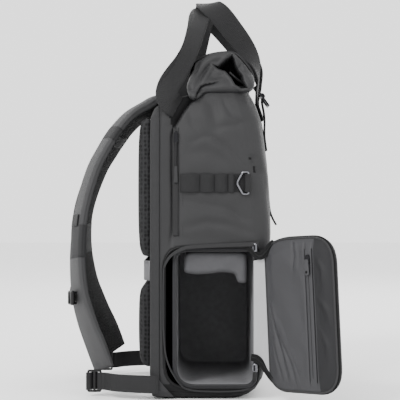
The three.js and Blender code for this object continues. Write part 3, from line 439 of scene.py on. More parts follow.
# Half of the body's ring at each height, from the middle of the back round the left side to the middle of
# the front: straight back, round rear corner, side, round front corner, and a front with a low crown.
def bodyHalf(heights, counts):
    back, front, half = [value[:, None] for value in bodyAt(heights)]
    rear = bag["rearCorner"]
    fore = np.minimum(bag["frontCorner"], (front - back) * 0.46)
    one = lambda count: np.linspace(0, 1, count, endpoint=False)[None]
    pieces = []
    t = one(counts[0])
    pieces.append((back + 0 * t, -(half - rear) * t))
    t = one(counts[1]) * math.pi / 2
    pieces.append((back + rear * (1 - np.cos(t)), -half + rear * (1 - np.sin(t))))
    t = one(counts[2])
    x = back + rear + (front - fore - back - rear) * t
    pieces.append((x, -half + valleyAt(x, heights[:, None])))
    t = one(counts[3]) * math.pi / 2
    pieces.append((front - fore * (1 - np.sin(t)), -half + fore * (1 - np.cos(t))))
    t = np.linspace(0, 1, counts[4] + 1)[None]
    pieces.append((front + bag["crown"] * ease(t, -0.1, 0.75), -(half - fore) * (1 - t)))
    x = np.hstack([piece[0] for piece in pieces])
    y = np.hstack([piece[1] + 0 * piece[0] for piece in pieces])
    return np.stack([x, y, np.broadcast_to(heights[:, None], x.shape)], axis=2)


# Whole ring of the body at each height: the left half, and the same mirrored on the right.
def bodyRing(heights, counts):
    left = bodyHalf(heights, counts)
    return np.concatenate([left, (left * [1, -1, 1])[:, ::-1][:, 1:-1]], axis=1)


# Creases of the side panel: line in X and Z, depth, and reach of the dent. Where sharp is 1 the dent is a
# crease with straight flanks, and where it is 0 it is a soft hollow.
sideCreases = [
    {"line": [(8, 419), (16, 404), (20, 388), (24, 372)], "deep": 4.68, "wide": 9, "sharp": 0},
    {"line": [(30, 418), (34, 404), (42, 390), (54, 379), (64, 372)], "deep": 4.32, "wide": 7, "sharp": 1},
    {"line": [(16, 371), (36, 374), (50, 376), (64, 382)], "deep": 3.96, "wide": 6, "sharp": 1},
    {"line": [(-12, 352), (4, 360), (16, 360), (32, 349), (48, 334), (62, 318)], "deep": 5.40, "wide": 7, "sharp": 1},
    {"line": [(-14, 338), (8, 340), (30, 330), (50, 312)], "deep": 2.88, "wide": 9, "sharp": 0},
    {"line": [(-16, 398), (-12, 380), (-2, 366)], "deep": 2.88, "wide": 6, "sharp": 1},
    {"line": [(-22, 274), (6, 268), (36, 262), (66, 244)], "deep": 3.96, "wide": 10, "sharp": 1},
    {"line": [(-20, 236), (10, 243), (40, 239), (70, 228)], "deep": 3.24, "wide": 6, "sharp": 0},
    {"line": [(40, 262), (54, 246), (62, 226)], "deep": 2.88, "wide": 7, "sharp": 1},
]


# How far the cloth of the sides and the front stands out: broad waves, creases, and a small grain.
def clothRelief(x, y, z, side):
    across = np.where(side, x, y + 60)
    broad = bag["sag"] * (lattice(across + z * 0.5, z - across * 0.35, 52, 3)
                          + 0.45 * lattice(across, z, 23, 5))
    relief = broad
    for crease in sideCreases:
        reach, place = distanceTo(np.where(y < 0, x, x * 0.9 + 6), np.where(y < 0, z, z + 9), crease["line"])
        flank = np.exp(-reach / crease["wide"]) if crease["sharp"] else bell(reach, crease["wide"])
        ends = np.sin(math.pi * np.clip(0.12 + 0.76 * place, 0, 1))
        dent = crease["deep"] * ends * (flank - 0.55 * bell(reach, crease["wide"] * 2.4))
        relief = relief - np.where(side, dent, 0)
    return relief


opening = {"back": -50, "front": 81, "low": 14, "high": 210}
openingLine = roundedLine([
    (opening["back"], opening["low"], 36), (opening["front"], opening["low"], 18),
    (opening["front"], opening["high"], 7), (opening["back"], opening["high"], 29),
], 160)


# Seam between the side and the front, and the slit of the flat pocket behind it, as X and Z.
frontSeam = [(58, 412), (62, 393), (66, 352), (68, 333), (74, 283), (79, 247), (80, 222)]
slitLine = [(69, 331), (71.5, 321), (75.5, 311)]


# The shell's full grid: rows up, columns round from the middle of the back, left side first.
def shellGrid():
    heights = np.r_[np.linspace(0, 12, 7), np.linspace(15, 388, 126), np.linspace(391, 431, 16)]
    grid = bodyRing(heights, (16, 6, 58, 8, 22))
    across = np.roll(grid, -1, axis=1) - np.roll(grid, 1, axis=1)
    up = np.gradient(grid, axis=0)
    normal = unit(np.cross(across, up))
    outward = np.sign(np.sum(normal[..., :2] * (grid[..., :2] - [15, 0]), axis=2, keepdims=True).mean())
    normal *= outward
    x, y, z = grid[..., 0], grid[..., 1], grid[..., 2]
    side = (np.abs(y) > bodyAt(z)[2] - 12) & (x > bag["seamX"])
    calm = ease(z, 12, 50) * ease(z, 431, 405) * ease(x, -60, -20)
    around, _ = distanceTo(x, z, np.vstack([openingLine, openingLine[:1]]))
    calm = calm * np.where((y < 0) & (z < 222), ease(around, 2, 14), 1)
    relief = clothRelief(x, y, z, side) * calm
    # Front seam, a groove that runs down from the shoulder to the door.
    seam, _ = distanceTo(x, z, frontSeam)
    relief -= np.where(side | (x > 50), 2.2 * bell(seam, 2.0), 0) * ease(z, 215, 225)
    before = x - np.interp(z, [310, 333], [77.5, 68.5])
    pocket = ease(z, 308, 313) * ease(z, 337, 331)
    pocket = pocket * np.where(before > 0, ease(before, 13, 0), ease(before, -1.6, 0))
    relief -= np.where(side | (x > 50), 5.0 * pocket, 0)
    return grid + normal * relief[..., None]


# Cuts a piece from the shell: faces whose middle is inside stay, and the vertices at the cut move on to
# the line where the distance is zero, along its gradient in X and Z.
def cutShell(grid, distance):
    rows, columns = grid.shape[:2]
    points = grid.reshape(-1, 3).copy()
    faces = gridFaces(rows, columns, loopColumns=True)
    middle = points[faces].mean(axis=1)
    kept = distance(middle) > 0
    border = np.intersect1d(faces[kept].ravel(), faces[~kept].ravel())
    for _ in range(3):
        here = distance(points[border])
        slope = np.stack([
            (distance(points[border] + step) - distance(points[border] - step)) / 1.0
            for step in (np.array([0.5, 0, 0]), np.array([0, 0, 0.5]))
        ], axis=1)
        slope = slope / np.maximum((slope**2).sum(axis=1, keepdims=True), 0.05)
        points[border, 0] -= np.clip(slope[:, 0] * here, -4, 4)
        points[border, 2] -= np.clip(slope[:, 1] * here, -4, 4)
    used, index = np.unique(faces[kept], return_inverse=True)
    return points[used], index.reshape(-1, 4), gridLengths(grid)[used]


# Piece cut from the shell where a distance is above zero, with its wall, and a material for each face.
def shellPiece(name, grid, distance, material, node, which=None):
    points, faces, uv = cutShell(grid, distance)
    thing = makePiece(name, points, faces, material, uv)
    if which is not None:
        thing.data.polygons.foreach_set("material_index", which(points[faces].mean(axis=1)).astype(int))
    giveWall(thing, bag["wall"])
    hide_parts(node)
    return thing


shell = shellGrid()
seamHalf = 0.25


# Distance into the bag's cloth: the least of those from the harness seam, the base and the opening.
def bagSide(p):
    hole = np.where(p[:, 1] < 0, signedDistance(p[:, 0], p[:, 2], openingLine), 99)
    return np.minimum(np.minimum(p[:, 0] - bag["seamX"] - seamHalf, p[:, 2] - bag["baseHeight"]), hole)


# Which cloth a face of the bag is: base cloth low down, twill at the rear, and near-black painted shade in the tuck
# and in the slit.
def bagCloth(p):
    side = np.abs(p[:, 1]) > 100
    behind = valleyLine(p[:, 2]) - p[:, 0]
    slit, _ = distanceTo(p[:, 0], p[:, 2], slitLine)
    deep = 16 * ease(p[:, 2], 366, 392) + 14 * ease(p[:, 2], 404, 420)
    tuck = side & (p[:, 2] > 374) & (behind > -0.8) & (behind < deep)
    plain = np.where(p[:, 2] < bag["lowCloth"], 1, np.where(p[:, 0] < bag["twillX"], 3, 0))
    # Tuck and slit faces take the near-black material: painted shade where these recesses are shaded.
    return np.where(tuck | ((slit < 1.3) & (p[:, 0] > 50)), 2, plain)


bagShell = shellPiece("bagShell", shell, bagSide, [tarpaulin, baseCloth, darkThreadAndPaintedShade, twill], "bag_body", bagCloth)
harnessShell = shellPiece("harnessShell", shell, lambda p: np.minimum(
    bag["seamX"] - seamHalf - p[:, 0], p[:, 2] - bag["baseHeight"]), twill, "harness_panel")
print("shell made", len(bagShell.data.polygons), len(harnessShell.data.polygons))


# Base tray: the lowest rings of the shell round a flat floor, with an inner wall.
def makeBase():
    heights = np.array([0, 1.0, 2.5, 4.5, 7, 10.0])
    grid = bodyRing(heights, (6, 6, 20, 8, 8))
    inner = grid.copy()
    inner[..., 0] = inner[..., 0] * 0.975
    inner[..., 1] *= 0.985
    inner[..., 2] = np.maximum(grid[..., 2], 3.0)
    whole = np.concatenate([grid, inner[::-1]], axis=0)
    return sweptPiece("baseTray", whole, baseCloth)


baseTray = makeBase()
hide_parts("base_panel")
print("base made")


# Path given as X and Z, turned into points at one Y.
def upright(path, y):
    path = np.asarray(path, float)
    return np.column_stack([path[:, 0], np.full(len(path), float(y)), path[:, 1]])


# The same for a path given as X and Y at one Z.
def levelled(path, z):
    path = np.asarray(path, float)
    return np.column_stack([path[:, 0], path[:, 1], np.full(len(path), float(z))])


# Flat sheet of squares cut to an outline: the places in X and Z, and its faces. Vertices at the cut are
# moved on to the nearest place of the outline.
def cutPlate(outline, step):
    low, high = outline.min(axis=0) - step, outline.max(axis=0) + 2 * step
    gx, gz = np.meshgrid(np.arange(low[0], high[0], step), np.arange(low[1], high[1], step))
    away = -signedDistance(gx, gz, outline)
    faces = gridFaces(*gx.shape)
    places = np.column_stack([gx.ravel(), gz.ravel()])
    kept = away.ravel()[faces].mean(axis=1) > 0.1 * step
    border = np.intersect1d(faces[kept].ravel(), faces[~kept].ravel())
    dense = evenly(np.vstack([outline, outline[:1]]), 1600)
    for index in border:
        places[index] = dense[np.argmin(((dense - places[index]) ** 2).sum(axis=1))]
    used, index = np.unique(faces[kept], return_inverse=True)
    return places[used], index.reshape(-1, 4)


# Closed slab drawn in X and Z with rounded edges: rings of the outline, drawn in by an inset at each depth.
# Profile is a list of (inset, depth).
def slabPiece(name, outline, profile, material, place=None):
    outline = np.asarray(outline, float)
    before, after = np.roll(outline, 1, axis=0), np.roll(outline, -1, axis=0)
    along = unit(after - before)
    inward = np.column_stack([-along[:, 1], along[:, 0]])
    rows = []
    for inset, depth in profile:
        ring = outline + inward * inset
        rows.append(np.column_stack([ring[:, 0], np.full(len(ring), float(depth)), ring[:, 1]]))
    grid = np.stack(rows)
    return sweptPiece(name, place(grid) if place else grid, material)


# Profile of a slab between two depths whose edges are rounded by a radius.
def roundedProfile(near, far, radius):
    turn = np.linspace(0, math.pi / 2, 5)
    start = [(radius * (1 - math.sin(t)), near + radius * (1 - math.cos(t))) for t in turn]
    end = [(radius * (1 - math.cos(t)), far - radius * (1 - math.sin(t))) for t in turn]
    return start + end


# Lining of the box: brushed cloth, dark grey, made lighter than the outer cloth as painted light for the little light
# that falls in.
boxLiningPaintedLight = makeMaterial("boxLiningPaintedLight", "656567", 0.95, [("grain", 0.8, 1.0)], 0.3, 0.2, 8)
# Camera box: a padded cup open to the side, with a piped rim.
cube = {"back": -38, "front": 79, "low": 14.3, "high": 208, "mouth": -139, "far": 112, "wall": 6,
        "rim": 0.9, "sag": 1.6}


# Outline of the camera box at a distance inside its outer face.
def cubeLine(inset):
    back, front = cube["back"] + inset, cube["front"] - inset
    low, high = cube["low"] + inset, cube["high"] - inset
    return roundedLine([(back, low, 32.4 - inset), (front, low, 19.8 - inset), (front, high, 10.8 - inset),
                        (back, high, 19.8 - inset)], 140)


# Camera box: rings of its outline, from the far end outside round the rim and back inside.
def makeCube():
    wall, mouth, far = cube["wall"], cube["mouth"], cube["far"]
    rings = [(0, far), (0, far - 30), (0, 0), (0, mouth + 30), (0, mouth + 4), (0.6, mouth + 1.4), (1.8, mouth + 0.3),
             (3, mouth), (4.2, mouth + 0.3), (5.4, mouth + 1.4), (wall, mouth + 4), (wall, mouth + 30), (wall, 0),
             (wall, far - 30), (wall, far - wall)]
    grid = []
    for inset, y in rings:
        line = cubeLine(inset)
        bulge = cube["sag"] * lattice(line[:, 0] + line[:, 1], np.full(len(line), y), 34, 8)
        bulge = bulge * (inset == wall) * ease(y, mouth + 2, mouth + 30)
        line = line + unit(line - line.mean(axis=0)) * -np.abs(bulge)[:, None]
        grid.append(upright(line, y))
    box = sweptPiece("cameraBox", np.stack(grid), [darkBrushed, boxLiningPaintedLight])
    # Inner walls and the inner far cap take the lighter copy: painted light inside the box.
    deep = np.repeat([ring[0] == wall for ring in rings[:-1]], len(grid[0])).astype(int)
    box.data.polygons.foreach_set("material_index", np.r_[deep, 0, 1])
    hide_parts("camera_cube")
    rim = upright(evenly(np.vstack([cubeLine(4.6), cubeLine(4.6)[:1]]), 141)[:-1], mouth - 0.1)
    ringPiece("boxPiping", wireRing(rim, cube["rim"]), bindingCloth)


makeCube()
print("box made")

# Divider: a puffed grey foam block with a tail down its right end, and the shelf behind it. Corners are X, Z
# and radius.
divider = {
    "near": -131, "deep": 18, "far": 80, "round": 7, "dent": 1.3,
    "corners": [(-23, 172.5, 7), (-4, 170, 8), (14, 171.5, 10), (33, 174, 8), (48.5, 171, 4), (52, 158.5, 4),
                (64.5, 158.5, 5), (64.5, 201.5, 10), (-21.5, 201.5, 12)],
}


# Divider: a face that rounds off as 1 - sqrt(1 - near^2) towards its outline, its lip and its shelf.
def makeDivider():
    outline = roundedLine(divider["corners"], 160)
    places, faces = cutPlate(outline, 1.3)
    x, z = places[:, 0], places[:, 1]
    near = 1 - np.clip(-signedDistance(x, z, outline) / divider["round"], 0, 1)
    y = divider["near"] + divider["round"] * (1 - np.sqrt(1 - near**2)) + divider["dent"] * lattice(x, z, 15, 11)
    face = makePiece("dividerFace", np.column_stack([x, y, z]), faces[:, ::-1], brushed, places)
    start, end = divider["near"] + divider["round"] - 0.6, divider["near"] + divider["deep"]
    lip = slabPiece("dividerLip", outline, [(0.4, start), (0, start + 1), (0, end - 2), (2, end)], brushed)
    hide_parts("cube_divider")
    shelfLine = roundedLine([(-20, 193, 3), (64, 193, 3), (64, 201, 3), (-20, 201, 3)], 60)
    shelf = slabPiece("dividerShelf", shelfLine, roundedProfile(end + 0.2, divider["far"], 2), brushed)


makeDivider()

# Place on the body's side at X and Z, on the left where side is -1, standing off by some mm.
def onSide(x, z, side, off):
    x, z = np.broadcast_arrays(np.asarray(x, float), np.asarray(z, float))
    half = bodyAt(z)[2]
    back, front, _ = bodyAt(z)
    fore = np.minimum(bag["frontCorner"], (front - back) * 0.46)
    past = np.maximum(x - (front - fore), 0)
    turned = fore - np.sqrt(np.maximum(fore**2 - past**2, 0.0))
    behind = np.maximum(back + bag["rearCorner"] - x, 0)
    rounded = bag["rearCorner"] - np.sqrt(np.maximum(bag["rearCorner"]**2 - behind**2, 0.0))
    y = half - turned - rounded - valleyAt(x, z) + off
    return np.stack([x, side * y, z], axis=-1)


# Band that lies on the body's left side along a line of X and Z: its across runs in the side's plane.
def sideBand(name, line, width, wall, material, off=0.3, wide=1.0):
    middle = onSide(line[:, 0], line[:, 1], -1, off + wall / 2)
    along = unit(np.gradient(middle, axis=0))
    across = unit(np.cross(along, leftward))
    normal = unit(np.cross(across, along))
    section = tapeSection(width, wall) if width > wall * 1.2 else roundSection(wall / 2, 8)
    sideways = across[:, None] * section[None, :, :1] * np.broadcast_to(wide, len(line))[:, None, None]
    grid = middle[:, None] + sideways + normal[:, None] * section[None, :, 1:]
    return sweptPiece(name, grid, material)


# Opening: folded binding all round, a lighter flap over its top, and the zip's tape and teeth inside it.
rimSizes = {"width": 2.8, "wall": 2.6, "flapWidth": 6.6}
rimLine = [
    (78, 21), (69.5, 15.4), (46.9, 11.4), (8.5, 11.2), (-17.6, 14.3), (-29.8, 24.7), (-41.1, 43.8), (-47.3, 64.8),
    (-49.4, 92.7), (-50, 127.5), (-49.4, 180),
]
flapLine = [(-49.4, 180), (-45, 190), (-37.7, 198.5), (-22.8, 206.6), (-5.5, 209.3), (29.4, 211.0), (64.2, 212.3),
            (80, 212.8)]


# The opening's line at a distance outside it.
def openingAt(out):
    back, front = opening["back"] - out, opening["front"] + out
    low, high = opening["low"] - out, opening["high"] + out
    corners = [(back, low, 36 + out), (front, low, 18 + out), (front, high, 7 + out), (back, high, 29 + out)]
    return roundedLine(corners, 220)


# The part of a closed line whose X stays behind a limit, in order from below to above.
def openPart(line, limit):
    inside = line[:, 0] < limit
    start = np.flatnonzero(inside & ~np.roll(inside, 1))[0]
    rolled = np.roll(line, -start, axis=0)
    part = rolled[: np.count_nonzero(inside)]
    return part if part[0, 1] < part[-1, 1] else part[::-1]


# Rim cloth: twill binding, a little lighter than the side.
rimCloth = makeMaterial("rimCloth", "232324", 0.7, [("weave", 0.9, 0.8)], 0.15)


# Opening: its binding, zip tape and coil, flap and stitches, each carried along its line on the side.
def makeOpening():
    rim = sideBand("openingBinding", evenly(through(rimLine, 12), 170), rimSizes["width"], rimSizes["wall"], rimCloth)
    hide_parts("opening_binding")
    inner = openPart(openingAt(-1.2), 76)
    inner[:, 1] = np.maximum(inner[:, 1], 12.6)
    inner = evenly(inner, 420)
    tape = sideBand("openingZipTape", evenly(inner, 150), 4.4, 1.2, baseCloth, off=-1.2)
    middle = onSide(inner[:, 0], inner[:, 1], -1, -0.2)
    coilPiece("openingZipCoil", middle, np.cross(unit(np.gradient(middle, axis=0)), leftward), 0.9, 0.35)
    top = evenly(through(flapLine, 12), 110)
    grown = np.interp(np.arange(110), [0, 12, 32, 109], [0.42, 0.62, 0.85, 1])
    flap = sideBand("openingFlap", top, rimSizes["flapWidth"], 2.4, rimCloth, off=0.8, wide=grown)
    edge = onSide(top[:, 0], top[:, 1] - 1.6, -1, 3.3)[14:]
    stitches("flapStitches", evenly(edge, 60), (0, -1, 0), 2.8, 1.7, 0.22, thread)


makeOpening()
print("opening made")

# Door: hinge place, swing and sag, size, and the looks of its lining.
door = {"hinge": (87, -141, 220), "swing": 47, "sag": 3.5, "width": 124, "height": 206, "wall": 9,
        "zipAt": 82, "weltHalf": 6.4, "puff": 2.4, "wave": 1.0}


# Door's own X, depth and height turned into the bag's frame: leant by the sag, then swung about the hinge.
def doorPlace(points):
    lean, turn = math.radians(door["sag"]), math.radians(door["swing"])
    x = points[..., 0] * math.cos(lean) - points[..., 2] * math.sin(lean)
    z = points[..., 0] * math.sin(lean) + points[..., 2] * math.cos(lean)
    y = points[..., 1]
    out = np.stack([x * math.cos(turn) + y * math.sin(turn), -x * math.sin(turn) + y * math.cos(turn), z], axis=-1)
    return out + np.array(door["hinge"], float)


# A direction of the door's own frame in the bag's frame: the difference of two placed points.
def doorTurned(vector):
    return doorPlace(np.array([vector], float))[0] - doorPlace(np.zeros((1, 3)))[0]


# Outline of the door at a distance inside it, in its own X and Z.
def doorLine(inset, count=200):
    w, h, i = door["width"], door["height"], inset
    return roundedLine([(i, -h + i, 30 - i), (w - i, -h + i, 36 - i), (w - i, -i, 38 - i), (34, -i, 16),
                        (i, -10 - i, 14 - i)], count)


# Folds of the lining: line in the door's X and Z, height and width. They fan out from the lower hinge corner,
# and those whose height is below zero are hollows.
doorFolds = [
    {"line": [(7.7, -92), (15.5, -120), (28, -155), (38, -197)], "tall": -1.9, "wide": 2.2},
    {"line": [(12, -88), (22, -124), (35, -158), (45, -198)], "tall": 1.7, "wide": 3.0},
    {"line": [(14, -108), (27, -138), (42, -168), (51, -198)], "tall": -1.8, "wide": 2.2},
    {"line": [(24, -112), (36, -140), (50, -168), (58, -198)], "tall": 1.4, "wide": 3.2},
    {"line": [(34, -134), (50, -168), (61, -199)], "tall": -1.4, "wide": 2.4},
    {"line": [(11, -136), (18, -164), (27, -190)], "tall": -1.6, "wide": 2.2},
    {"line": [(15, -140), (24, -168), (33, -194)], "tall": 1.3, "wide": 2.4},
    {"line": [(54, -5), (56, -23), (53, -46)], "tall": -1.5, "wide": 2.0},
    {"line": [(59, -6), (62, -24), (60, -44)], "tall": 0.9, "wide": 3.0},
    {"line": [(98, -30), (106, -44), (108, -66)], "tall": 1.4, "wide": 4.0},
    {"line": [(100, -84), (111, -98), (116, -118)], "tall": 1.5, "wide": 4.2},
    {"line": [(98, -124), (108, -142), (111, -164)], "tall": 1.3, "wide": 3.8},
]


# How far the lining stands out of the door's face at a place: puffed in the middle, waved and folded,
# and held down along its edge and along both welts of the pocket.
def doorRelief(x, z):
    reach = -signedDistance(x, z, doorLine(3))
    held = ease(reach, 0, 16)
    relief = door["puff"] * held + door["wave"] * lattice(x + z * 0.4, z, 26, 21) * held
    for fold in doorFolds:
        away, place = distanceTo(x, z, fold["line"])
        ends = np.sin(math.pi * (0.15 + 0.75 * place)) * ease(reach, 0, 8)
        relief = relief + fold["tall"] * bell(away, fold["wide"]) * ends
    flat = ease(np.abs(x - door["zipAt"]), 9, 16)
    relief = relief * flat + door["puff"] * held * (1 - flat)
    welt = np.abs(np.abs(x - door["zipAt"]) - door["weltHalf"])
    return relief - 1.7 * bell(welt, 1.1) * held


# Door: lining cut to the outline and raised by its relief, shell behind it, piping and zip tape round it.
def makeDoor():
    # Face of the lining, with painted shade beyond the pocket's zip: the darker copy of the lining cloth.
    places, faces = cutPlate(doorLine(2.2), 1.6)
    face = np.column_stack([places[:, 0], -doorRelief(places[:, 0], places[:, 1]), places[:, 1]])
    sheet = makePiece("doorLining", doorPlace(face), faces[:, ::-1], [lining, liningPaintedShadeAndTape], places)
    # Faces beyond the zip take the darker copy: painted shade.
    paintedShadeFaces = places[faces].mean(axis=1)[:, 0] > door["zipAt"] + 10
    sheet.data.polygons.foreach_set("material_index", paintedShadeFaces.astype(int))
    giveWall(sheet, 1.0)
    # Shell of the door behind the lining.
    profile = [(3, 0.6), (1.4, 0.9), (0.4, 1.9), (0, 3.2), (0, 6.2), (0.8, 7.8), (2.6, 8.7), (5, 9), (20, 9.6)]
    shellBack = slabPiece("doorShell", doorLine(0), profile, tarpaulin, place=doorPlace)
    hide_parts("door_panel")
    # Piping round the lining, and the zip's tape and coil on the edge.
    for name, inset, depth, radius, material, count in [
        ("doorPiping", 1.6, -0.4, 1.5, bindingCloth, 240), ("doorZipTape", 0.2, 2.6, 1.7, baseCloth, 240),
    ]:
        line = doorLine(inset, count)
        path = np.column_stack([line[:, 0], np.full(count, depth), line[:, 1]])
        ringPiece(name, doorPlace(wireRing(path, radius)), material)


makeDoor()


# The pocket's zip in the door: a dark strip between two welts whose lips are near-black painted shade, its coil,
# slider, and pull with a hole painted as a near-black patch of shade.
def makeDoorPocket():
    middle, half = door["zipAt"], door["weltHalf"]
    heights = np.linspace(-192, -16, 60)
    face = -doorRelief(np.full(60, middle), heights)
    # The tape takes the darker lining colour as its own dark colour; the two lips are near-black painted shade along
    # the welts.
    for name, x, width, rise, wall, material in [
        ("doorPocketTape", middle, 12.6, 0.1, 0.8, liningPaintedShadeAndTape),
        ("doorPocketLipNear", middle - half, 1.3, -0.2, 1.3, darkThreadAndPaintedShade),
        ("doorPocketLipFar", middle + half, 1.3, -0.2, 1.3, darkThreadAndPaintedShade),
    ]:
        path = np.column_stack([np.full(60, x), face - rise, heights])
        section = tapeSection(width, wall) if width > wall else roundSection(wall / 2)
        strip = sweptPiece(name, doorPlace(sweep(path, forward, section)), material)
        if name == "doorPocketTape":
            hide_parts("door_pocket_zip")
    heights = np.linspace(-186, -24, 260)
    path = np.column_stack([np.full(260, middle), -doorRelief(np.full(260, middle), heights) - 0.5, heights])
    coilPiece("doorPocketCoil", path, forward, 0.8, 0.3, doorPlace)
    body = roundedLine([(middle - 4, -36, 2), (middle + 4, -36, 2), (middle + 3.2, -24, 2),
                        (middle - 3.2, -24, 2)], 28)
    slabPiece("doorPocketSlider", body, roundedProfile(-5.4, -2.4, 0.8), darkMetal, place=doorPlace)
    tab = roundedLine([(middle - 4.2, -51, 3.4), (middle + 4.2, -51, 3.4), (middle + 3.4, -30, 1.6),
                       (middle - 3.4, -30, 1.6)], 40)
    pull = slabPiece("doorPocketPull", tab, roundedProfile(-7.6, -5.6, 0.8), lining, place=doorPlace)
    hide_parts("door_pocket_pull")
    # The pull's hole is a thin near-black slab: painted shade, not an opening.
    hole = roundedLine([(middle - 2, -48.5, 1.6), (middle + 2, -48.5, 1.6), (middle + 2, -45, 1.6),
                        (middle - 2, -45, 1.6)], 20)
    slabPiece("doorPocketPullHole", hole, [(0.3, -7.8), (0, -7.7), (0, -7.3)], darkThreadAndPaintedShade,
                      place=doorPlace)
    for x in (middle - 9.6, middle + 9.6, 5.5):
        heights = np.linspace(-196, -10, 60)
        depth = np.array([-doorRelief(np.array([x]), np.array([z]))[0] for z in heights]) - 0.2
        path = doorPlace(np.column_stack([np.full(60, x), depth, heights]))
        stitches(f"doorStitches{int(x)}", path, doorTurned((0, -1, 0)), 2.8, 1.7, 0.25, thread)


makeDoorPocket()
print("door made")


# Pale gusset between the box and the door, with a soft fold down it.
gusset = {"start": (73.4, -140.2), "end": (93.0, -147.8), "low": 58, "slant": 24, "high": 190, "wall": 0.9,
          "fold": 1.3}


# Gusset: straight rows from the bag to the door's edge, with folds that fade out at its ends.
def makeGusset():
    rows, columns = 90, 22
    t = np.linspace(0, 1, rows)[:, None]
    s = np.linspace(0, 1, columns)[None]
    start = np.array(gusset["start"])
    low = gusset["low"] - gusset["slant"] * ease(s, 0.1, 1.0)
    high = gusset["high"] + 4 * s
    z = low + (high - low) * t
    edge = doorPlace(np.stack([1.5 + 0 * z, -1.2 + 0 * z, z - door["hinge"][2]], axis=-1))[..., :2]
    along = unit(edge - start)
    fold = gusset["fold"] * bell(s - 0.55 - 0.06 * np.sin(z / 30), 0.28) * np.sin(math.pi * t)
    fold = fold + 0.5 * lattice(s * 20 + 0 * z, z, 18, 31) * np.sin(math.pi * s)
    flat = start + (edge - start) * s[..., None]
    flat = flat + np.stack([along[..., 1], -along[..., 0]], axis=-1) * fold[..., None]
    grid = np.concatenate([flat, z[..., None]], axis=2)
    cloth = makePiece("doorGusset", grid.reshape(-1, 3), gridFaces(rows, columns)[:, ::-1], paleLining,
                      gridLengths(grid))
    giveWall(cloth, gusset["wall"], 0)
    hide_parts("door_gusset")


# Sliders of the door's zip, each a body with a ridge, and the lower one's pull.
def makeSliders():
    start, end = np.array(gusset["start"]), np.array(gusset["end"])
    along = unit(end - start)
    turn = math.atan2(along[1], along[0])

    def onGusset(points):
        x, y = points[..., 0], points[..., 1]
        return np.stack([start[0] + x * math.cos(turn) - y * math.sin(turn),
                         start[1] + x * math.sin(turn) + y * math.cos(turn), points[..., 2]], axis=-1)

    for name, node, low in (("openingSliderUpper", "opening_pull_upper", 202),
                            ("openingSliderLower", "opening_pull_lower", 38)):
        outline = roundedLine([(-1.5, low, 2.5), (6.5, low, 2.5), (5.6, low + 12, 2.5), (-0.6, low + 12, 2.5)], 36)
        body = slabPiece(name, outline, roundedProfile(-4.6, -0.9, 1.2), brightMetal, place=onGusset)
        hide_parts(node)
        ridge = roundedLine([(1.4, low + 2, 0.8), (3.8, low + 2, 0.8), (3.8, low + 10, 0.8),
                             (1.4, low + 10, 0.8)], 20)
        slabPiece(name + "Ridge", ridge, roundedProfile(-6.2, -4.4, 0.7), darkMetal, place=onGusset)
        if name == "openingSliderLower":
            tab = roundedLine([(-0.6, low - 13, 2), (5.4, low - 13, 2), (4.6, low + 1, 1.6), (0.4, low + 1, 1.6)], 30)
            slabPiece(name + "Tab", tab, roundedProfile(-5.6, -3.4, 0.9), plastic, place=onGusset)


# Zip tape that crosses from the bag to the door at the top and the bottom of the gusset.
bridges = {
    "Upper": [(60, -141.4, 213.5), (68, -142.6, 209), (75, -144.6, 200), (82, -147.6, 196.5), (89, -150, 202),
              (95, -152, 210), (101, -155, 216)],
    "Lower": [(70, -141.6, 58), (77, -144.8, 57), (85, -147.6, 50), (92, -150, 40), (100, -154, 30), (109, -160, 23)],
}


# Bridges: tape and coil carried along each row of places.
def makeBridges():
    for label, rows in bridges.items():
        path = evenly(through(rows, 10), 60)
        along = unit(np.gradient(path, axis=0))
        across = np.cross(along, leftward)
        tape = sweptPiece(f"zipBridge{label}", sweep(path, across, tapeSection(10, 1.6)), baseCloth)
        coil = evenly(path + unit(np.cross(across, along)) * 1.2, 180)
        across = np.cross(unit(np.gradient(coil, axis=0)), leftward)
        coilPiece(f"zipBridgeCoil{label}", coil, across, 0.9, 0.35)


makeGusset()
makeBridges()
makeSliders()
print("gusset made")

# Shoulder straps: rows of reach behind the origin, place across and height in mm, shares of the width and
# the wall, and turn in degrees.
strap = {"width": 64, "wall": 14, "farther": 13}
strapTable = np.array([
    (43, 52.5, 411.5, 1, 0.8, 12), (62, 54, 415.2, 1, 1.1, 13), (79.1, 56.8, 406.4, 1, 1.2, 15),
    (99.8, 60.4, 394.1, 1, 1.05, 16), (118.7, 65.3, 373.5, 1, 1, 16), (135.9, 69.6, 346, 1, 1, 16),
    (150.5, 73.8, 316.5, 1, 1, 16), (164.3, 79.5, 270.1, 1, 1, 16), (170.6, 83.8, 227.9, 1, 1, 16),
    (172, 88.8, 181.5, 1, 1, 18), (168, 93.7, 139.3, 1, 0.95, 22), (158, 99.4, 103.4, 0.98, 0.85, 27),
    (145, 104.4, 69.6, 0.92, 0.75, 32), (133, 107.6, 37.5, 0.84, 0.55, 35),
])


# Middle line of a strap with its across directions, width and wall shares, and its outward normals. The
# right strap hangs further out round its middle.
def strapPath(side):
    rows = through(strapTable, 10)
    reach = rows[:, 0] + (strap["farther"] * bell(rows[:, 2] - 240, 110) if side > 0 else 0)
    path = np.column_stack([-reach, side * rows[:, 1], rows[:, 2]])
    turn = np.radians(rows[:, 5])
    across = np.column_stack([-np.sin(turn), -side * np.cos(turn), 0 * turn])
    normal = np.column_stack([-np.cos(turn), side * np.sin(turn), 0 * turn])
    return path, across, rows[:, 3], rows[:, 4], normal


# Point of a strap's outer face at a height below its widest reach: its place, normal and across.
def strapFace(z, side, up=0.0):
    path, across, _, _, normal = strapPath(side)
    low = np.flatnonzero(path[:, 2] < 260)[0]
    at = lambda rows: np.array([np.interp(z, path[low:, 2][::-1], rows[low:, k][::-1]) for k in range(3)])
    return at(path) + at(normal) * (strap["wall"] / 2 + up), at(normal), at(across)


